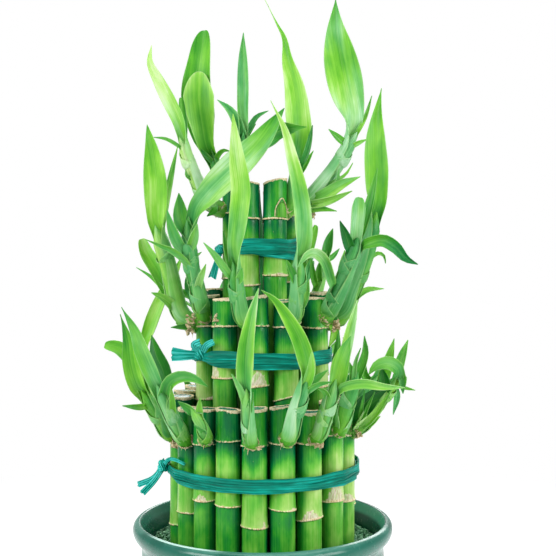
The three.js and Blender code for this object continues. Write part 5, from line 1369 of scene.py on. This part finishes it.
def make_pot(glaze):
    """The pot. The tone marks the painted light on its inner lip, and the light marks the painted highlight
    where the rim shines.
    """
    outside = POT_FOOT + rounded(POT_WALL, WALL_STEPS) + rounded(POT_RIM, RIM_STEPS)
    lip = rounded(POT_LIP, LIP_STEPS)
    inside = rounded(POT_INSIDE, INSIDE_STEPS) + POT_FLOOR
    # The tone marks painted light on the inner lip: paler at its top, fading to nothing down inside
    tone = [0] * (len(outside) - 2) + [1] * 2 + np.linspace(1, 0, len(lip)).tolist() + [0] * len(inside)
    # The light marks a painted highlight on the last points of the rim, brightest in the RIM_LIGHT direction
    dark = [0] * (len(outside) - RIM_LIGHT_POINTS)
    light = dark + [1] * RIM_LIGHT_POINTS + [0] * len(lip + inside)
    lit = bell(wrapped(circle(POT_SIDES) - RIM_LIGHT), 0, RIM_LIGHT_WIDTH)
    piece = Piece("glazed_pot", [glaze])
    add_lathe(piece, outside + lip + inside, POT_SIDES, tone=np.array(tone), light=np.outer(lit, light))
    piece.build("pot")


def ball():
    """The points and faces of a small ball of triangles."""
    mesh = bpy.data.meshes.new("ball")
    shape = bmesh.new()
    bmesh.ops.create_icosphere(shape, subdivisions=2, radius=1)
    shape.to_mesh(mesh)
    shape.free()
    points = np.array([vertex.co for vertex in mesh.vertices])
    faces = np.array([face.vertices for face in mesh.polygons])
    bpy.data.meshes.remove(mesh)
    return points, faces


def scatter_grains(feet, rng):
    """Spots and sizes for the grains, clear of the canes and of each other."""
    spots = np.empty((0, 2))
    sizes = np.empty(0)
    for _ in range(GRAIN_TRIES):
        reach = GRAVEL_REACH * math.sqrt(rng.uniform(0.2, 1))
        angle = rng.uniform(0, TURN)
        spot = np.array([reach * math.cos(angle), reach * math.sin(angle)])
        size = rng.uniform(*GRAIN_SIZES)
        to_cane = np.linalg.norm(feet - spot, axis=1).min()
        if reach + size > GRAVEL_REACH or to_cane < CANE_RADIUS + 0.5 * size:
            continue
        if (np.linalg.norm(spots - spot, axis=1) < GRAIN_SPACING * (sizes + size)).any():
            continue
        spots = np.append(spots, [spot], axis=0)
        sizes = np.append(sizes, size)
    return zip(spots, sizes)


def make_gravel(gravel, canes):
    """A bed of angular grains round the canes, on the filling of the pot."""
    rng = np.random.default_rng(7)
    piece = Piece("gravel_bed", [gravel])
    add_lathe(piece, FILLING, FILLING_SIDES, tone=0.2)
    points, faces = ball()
    feet = np.array([[cane["x"], cane["y"]] for cane in canes.values() if cane["tier"] == "lower"])
    for spot, size in scatter_grains(feet, rng):
        # A ball with some flats cut off, stretched, turned and half sunk in the filling
        shape = points.copy()
        for cut in unit(rng.normal(size=(GRAIN_CUTS, 3))):
            over = np.maximum(shape @ cut - rng.uniform(*GRAIN_CUT_SPOTS), 0)
            shape = shape - over[:, None] * cut
        shape = shape * rng.uniform(0.7, 1.15, 3) * size
        turn = Matrix.Rotation(rng.uniform(0, math.pi), 3, Vector(rng.normal(size=3)))
        shape = shape @ np.array(turn)
        shape = shape + [*spot, GRAVEL_TOP - 0.6 * size + rng.uniform(-0.4, 0.4)]
        piece.solid(shape, faces, grain=shape + rng.uniform(0, 300, 3), tone=rng.uniform(0.2, 1))
    piece.build("gravel")


# Materials

class Nodes:
    """The nodes of a material or of the world. Each call adds one kind of node and returns its output."""

    def __init__(self, owner):
        owner.use_nodes = True
        self.owner = owner
        self.tree = owner.node_tree

    def put(self, socket, value):
        """Links another socket to this one, or sets its value."""
        if isinstance(value, bpy.types.NodeSocket):
            self.tree.links.new(value, socket)
        else:
            socket.default_value = (*value, 1) if socket.type == "RGBA" else value

    def add(self, kind, inputs, **settings):
        node = self.tree.nodes.new(kind)
        for key, value in settings.items():
            setattr(node, key, value)
        for key, value in inputs.items():
            self.put(node.inputs[key], value)
        return node.outputs

    def read(self, name, output="Fac"):
        return self.add("ShaderNodeAttribute", {}, attribute_name=name)[output]

    def place(self):
        return self.add("ShaderNodeNewGeometry", {})["Position"]

    def noise(self, vector, scale, detail=3.0, rough=0.5):
        """A noise on a vector stretched by scale, one number for each of its axes."""
        stretched = self.add("ShaderNodeVectorMath", {0: vector, 1: scale}, operation="MULTIPLY")[0]
        inputs = {"Vector": stretched, "Scale": 1.0, "Detail": detail, "Roughness": rough}
        return self.add("ShaderNodeTexNoise", inputs)["Fac"]

    def ranged(self, value, low, high, to_low=0.0, to_high=1.0):
        """A value between low and high, moved to between to_low and to_high."""
        inputs = {"Value": value, "From Min": low, "From Max": high, "To Min": to_low, "To Max": to_high}
        return self.add("ShaderNodeMapRange", inputs, interpolation_type="SMOOTHSTEP")["Result"]

    def maths(self, operation, first, second=0.0):
        return self.add("ShaderNodeMath", {0: first, 1: second}, operation=operation)[0]

    def plus(self, first, second):
        return self.maths("ADD", first, second)

    def times(self, first, second):
        return self.maths("MULTIPLY", first, second)

    def varied(self, value, source, swing, low=0.25):
        """A value that a noise moves down by the swing where it is low, and up where it is 1 - low."""
        return self.plus(value, self.ranged(source, low, 1 - low, -swing, swing))

    def ramp(self, value, stops):
        node = self.tree.nodes.new("ShaderNodeValToRGB")
        self.put(node.inputs["Fac"], value)
        elements = node.color_ramp.elements
        while len(elements) < len(stops):
            elements.new(0.5)
        for element, (position, *colour) in zip(elements, stops):
            element.position = position
            element.color = (*colour, 1)
        return node.outputs["Color"]

    def mixed(self, share, first, second):
        """The first colour at share 0, and the second at share 1."""
        return self.add("ShaderNodeMix", {0: share, 6: first, 7: second}, data_type="RGBA")[2]

    def mixed_value(self, share, first, second):
        return self.add("ShaderNodeMix", {0: share, 2: first, 3: second}, data_type="FLOAT")[0]

    def shade(self, inputs):
        """Gives the material's shader its inputs."""
        for key, value in inputs.items():
            self.put(self.tree.nodes["Principled BSDF"].inputs[key], value)

    def surface(self, colour, rough, height, strength, distance, shine=0.5):
        """Gives the material its colour, roughness, bumps and shine. The bumped normal comes back."""
        bump = {"Height": height, "Strength": strength, "Distance": distance}
        normal = self.add("ShaderNodeBump", bump)["Normal"]
        self.shade({"Base Color": colour, "Roughness": rough, "Normal": normal, "Specular IOR Level": shine})
        return normal

    def scar_colour(self, grain):
        """Dry torn sheath: cream, with brown streaks along it."""
        return self.ramp(self.noise(grain, (1.7, 1.7, 0.6), 4.0, 0.6), SCAR_BROWN)

    def paper_colour(self, grain):
        """Papery rests of sheath: whitish, with grey and rusty streaks."""
        return self.ramp(self.noise(grain, (2.4, 2.4, 0.35), 4.0, 0.65), PAPER_WHITE)


def leaf_material():
    """Leaves and stems, veined along their length, dry where they are torn, and lit through a little."""
    nodes = Nodes(bpy.data.materials.new("leaf"))
    grain = nodes.read("grain", "Vector")
    across = nodes.maths("ABSOLUTE", nodes.read("across"))
    broad = nodes.noise(grain, (0.13, 0.13, 0.045))
    streak = nodes.noise(grain, (2.2, 0.4, 0.025))
    veins = nodes.noise(grain, (5.5, 0.3, 0.012), 2.0)
    patch = nodes.noise(grain, (0.2, 0.2, 0.03), 2.0)
    tone = nodes.varied(nodes.read("tone"), broad, 0.16)
    tone = nodes.varied(tone, streak, 0.07)
    tone = nodes.varied(tone, veins, 0.045, 0.3)
    cool = nodes.varied(nodes.read("cool"), patch, 0.3)
    warm, cold = nodes.ramp(tone, LEAF_WARM), nodes.ramp(tone, LEAF_COLD)
    colour = nodes.mixed(nodes.ranged(cool, 0.0, 1.0), warm, cold)
    edge = nodes.times(nodes.ranged(across, 0.9, 1.0, 0.0, 0.4), nodes.ranged(tone, 0.1, 0.6))
    colour = nodes.mixed(edge, colour, LEAF_EDGE)
    colour = nodes.mixed(nodes.ranged(across, 0.0, 0.06, 0.22, 0.0), colour, LEAF_RIB)
    torn = nodes.ranged(nodes.read("scar"), 0.4, 0.6)
    colour = nodes.mixed(torn, colour, nodes.scar_colour(grain))
    rough = nodes.mixed_value(torn, nodes.ranged(streak, 0.3, 0.7, 0.34, 0.46), DRY_ROUGHNESS)
    normal = nodes.surface(colour, rough, nodes.plus(streak, veins), 0.3, 0.0003, 0.35)
    through = nodes.add("ShaderNodeBsdfTranslucent", {"Color": colour, "Normal": normal})[0]
    shader = nodes.tree.nodes["Principled BSDF"].outputs[0]
    both = nodes.add("ShaderNodeMixShader", {0: LEAF_THROUGH, 1: shader, 2: through})[0]
    nodes.put(nodes.tree.nodes["Material Output"].inputs["Surface"], both)
    return nodes.owner


def cane_material():
    """Canes: clouded green with specks, papery or brown where they are torn, and wax on the cut."""
    nodes = Nodes(bpy.data.materials.new("cane"))
    grain = nodes.read("grain", "Vector")
    tone = nodes.read("tone")
    papery = nodes.read("cool")
    cloud = nodes.noise(grain, (0.2, 0.2, 0.08))
    streak = nodes.noise(grain, (1.2, 1.2, 0.02))
    fine = nodes.noise(grain, (4.5, 4.5, 0.05), 2.0)
    speck = nodes.noise(grain, (1.3, 1.3, 1.0), 2.0)
    crumbs = nodes.noise(grain, (1.0, 1.0, 0.8), 4.0)
    fibres = nodes.noise(grain, (2.2, 2.2, 0.3))
    shade = nodes.varied(tone, cloud, 0.13)
    shade = nodes.varied(shade, streak, 0.035)
    shade = nodes.varied(shade, fine, 0.015, 0.3)
    colour = nodes.mixed(nodes.ranged(speck, 0.74, 0.8, 0.0, 0.4), nodes.ramp(shade, CANE_GREEN), CANE_SPECK)
    ragged = nodes.varied(nodes.read("scar"), crumbs, 0.35, 0.2)
    ragged = nodes.varied(ragged, fibres, 0.2)
    torn = nodes.ranged(ragged, 0.42, 0.62)
    dry = nodes.mixed(papery, nodes.scar_colour(grain), nodes.paper_colour(grain))
    thin = nodes.ranged(nodes.times(papery, nodes.ranged(fibres, 0.35, 0.65)), 0.0, 1.0, 1.0, 0.45)
    colour = nodes.mixed(nodes.times(torn, thin), colour, dry)
    wax = nodes.ramp(nodes.noise(grain, (0.7, 0.7, 0.7), 4.0), WAX_GREEN)
    is_wax = nodes.ranged(tone, -0.6, -0.4, 1.0, 0.0)
    sealed = nodes.times(is_wax, nodes.ranged(ragged, 0.3, 0.6, 1.0, 0.0))
    colour = nodes.mixed(sealed, colour, wax)
    rough = nodes.mixed_value(torn, nodes.ranged(streak, 0.3, 0.7, 0.22, 0.3), DRY_ROUGHNESS)
    nodes.surface(colour, rough, nodes.plus(streak, nodes.times(ragged, torn)), 0.3, 0.0004, 0.22)
    return nodes.owner


def raffia_material():
    """Dyed raffia: fine fibres along the strips, in patches of a darker and a paler green, over a tone that
    carries the painted shade and sheen of its folds.
    """
    nodes = Nodes(bpy.data.materials.new("raffia"))
    grain = nodes.read("grain", "Vector")
    fibre = nodes.noise(grain, (2.6, 1.0, 0.03))
    thread = nodes.noise(grain, (8.0, 1.0, 0.08), 2.0)
    patch = nodes.noise(grain, (0.25, 1.0, 0.07))
    tone = nodes.varied(nodes.read("tone"), fibre, 0.15)
    tone = nodes.varied(tone, patch, 0.2)
    tone = nodes.varied(tone, thread, 0.07, 0.3)
    rough = nodes.ranged(fibre, 0.3, 0.7, 0.42, 0.6)
    nodes.surface(nodes.ramp(tone, RAFFIA_GREEN), rough, nodes.plus(fibre, thread), 0.4, 0.0003, 0.1)
    return nodes.owner


def glaze_material():
    """A dark clouded glaze, thin on the edge of the rim and missing under the foot, with painted light inside
    the lip and a painted highlight on the rim.
    """
    nodes = Nodes(bpy.data.materials.new("glaze"))
    place = nodes.place()
    x, _, height = nodes.add("ShaderNodeSeparateXYZ", {0: place})
    cloud = nodes.noise(place, (26.0, 26.0, 14.0), 4.0, 0.55)
    fine = nodes.noise(place, (420.0, 420.0, 420.0))
    thin = nodes.ranged(nodes.varied(height, cloud, 0.0012, 0.3), *GLAZE_THINS)
    colour = nodes.mixed(nodes.times(thin, 0.5), nodes.ramp(cloud, GLAZE_GREEN), GLAZE_EDGE)
    # Painted light: a paler glaze inside the lip, paler on the right than on the left
    lip = nodes.mixed(nodes.ranged(x, -0.056, 0.05), *PAINTED_LIP_LIGHT)
    colour = nodes.mixed(nodes.ranged(nodes.read("tone"), 0.45, 0.75), colour, lip)
    # A painted highlight where the light marks the rim
    colour = nodes.mixed(nodes.ranged(nodes.read("light"), 0.1, 0.6, 0.0, 0.8), colour, PAINTED_RIM_HIGHLIGHT)
    bare = nodes.ranged(height, *BARE_FOOT, 1.0, 0.0)
    colour = nodes.mixed(bare, colour, CLAY)
    rough = nodes.mixed_value(bare, nodes.ranged(fine, 0.3, 0.7, 0.2, 0.28), DRY_ROUGHNESS)
    nodes.surface(colour, rough, nodes.plus(cloud, nodes.times(fine, 0.08)), 0.12, 0.002, 0.35)
    return nodes.owner


def gravel_material():
    nodes = Nodes(bpy.data.materials.new("gravel"))
    fine = nodes.noise(nodes.read("grain", "Vector"), (2.2, 2.2, 2.2), 4.0, 0.6)
    colour = nodes.ramp(nodes.varied(nodes.read("tone"), fine, 0.2), GRAVEL_GREEN)
    nodes.surface(colour, nodes.ranged(fine, 0.3, 0.7, 0.55, 0.85), fine, 0.5, 0.0004)
    return nodes.owner


def floor_material():
    """A pale matt floor that turns into the white of the studio further out, so that no horizon shows."""
    nodes = Nodes(bpy.data.materials.new("floor"))
    place = nodes.place()
    near = nodes.ramp(nodes.noise(place, (3.0, 3.0, 3.0)), FLOOR_GREY)
    away = nodes.add("ShaderNodeVectorMath", {0: place}, operation="LENGTH")["Value"]
    far = nodes.ranged(away, *FLOOR_FADE)
    nodes.shade({
        "Base Color": nodes.mixed(far, near, (0, 0, 0)), "Roughness": 0.9, "Specular IOR Level": 0,
        "Emission Color": (1, 1, 1), "Emission Strength": far,
    })
    return nodes.owner


# Stage

def link(name, data):
    thing = bpy.data.objects.new(name, data)
    bpy.context.scene.collection.objects.link(thing)
    return thing


def add_camera():
    camera = link("camera", bpy.data.cameras.new("camera"))
    camera.data.lens = LENS
    camera.data.sensor_width = SENSOR
    camera.data.clip_start = 0.02
    camera.data.clip_end = 20
    camera.location = (0, -EYE_DISTANCE * MM, EYE_HEIGHT * MM)
    camera.rotation_euler = (math.radians(90 - PITCH_DOWN), 0, -math.radians(YAW_RIGHT))
    bpy.context.scene.camera = camera


def add_light(name, place, aim, size, power):
    lamp = bpy.data.lights.new(name, "AREA")
    lamp.shape = "RECTANGLE"
    lamp.size, lamp.size_y = size
    lamp.energy = power
    light = link(name, lamp)
    light.location = place
    light.rotation_euler = (Vector(aim) - Vector(place)).to_track_quat("-Z", "Y").to_euler()


def add_floor():
    mesh = bpy.data.meshes.new("floor")
    corners = [(x * FLOOR_REACH, y * FLOOR_REACH, 0) for x, y in ((-1, -1), (1, -1), (1, 1), (-1, 1))]
    mesh.from_pydata(corners, [], [(0, 1, 2, 3)])
    mesh.materials.append(floor_material())
    floor = link("floor", mesh)


def add_world():
    """The studio's white, which the camera sees brighter than it lights the plant."""
    world = bpy.data.worlds.new("studio")
    nodes = Nodes(world)
    looked_at = nodes.add("ShaderNodeLightPath", {})["Is Camera Ray"]
    background = nodes.tree.nodes["Background"].inputs
    nodes.put(background["Color"], (1, 1, 1))
    nodes.put(background["Strength"], nodes.ranged(looked_at, 0.0, 1.0, AMBIENT, WHITE))
    bpy.context.scene.world = world
    bpy.context.scene.view_settings.view_transform = "Standard"


def main():
    add_camera()
    add_floor()
    add_world()
    for name, light in LIGHTS.items():
        add_light(name, *light)
    canes = lay_out_canes()
    materials = [cane_material(), leaf_material()]
    raffia = raffia_material()
    make_pot(glaze_material())
    make_gravel(gravel_material(), canes)
    for number, (name, cane) in enumerate(canes.items()):
        make_cane(name, cane, materials, np.random.default_rng(100 + number))
    for tier, tie in TIES.items():
        make_tie(tier, tie, canes, raffia)


main()
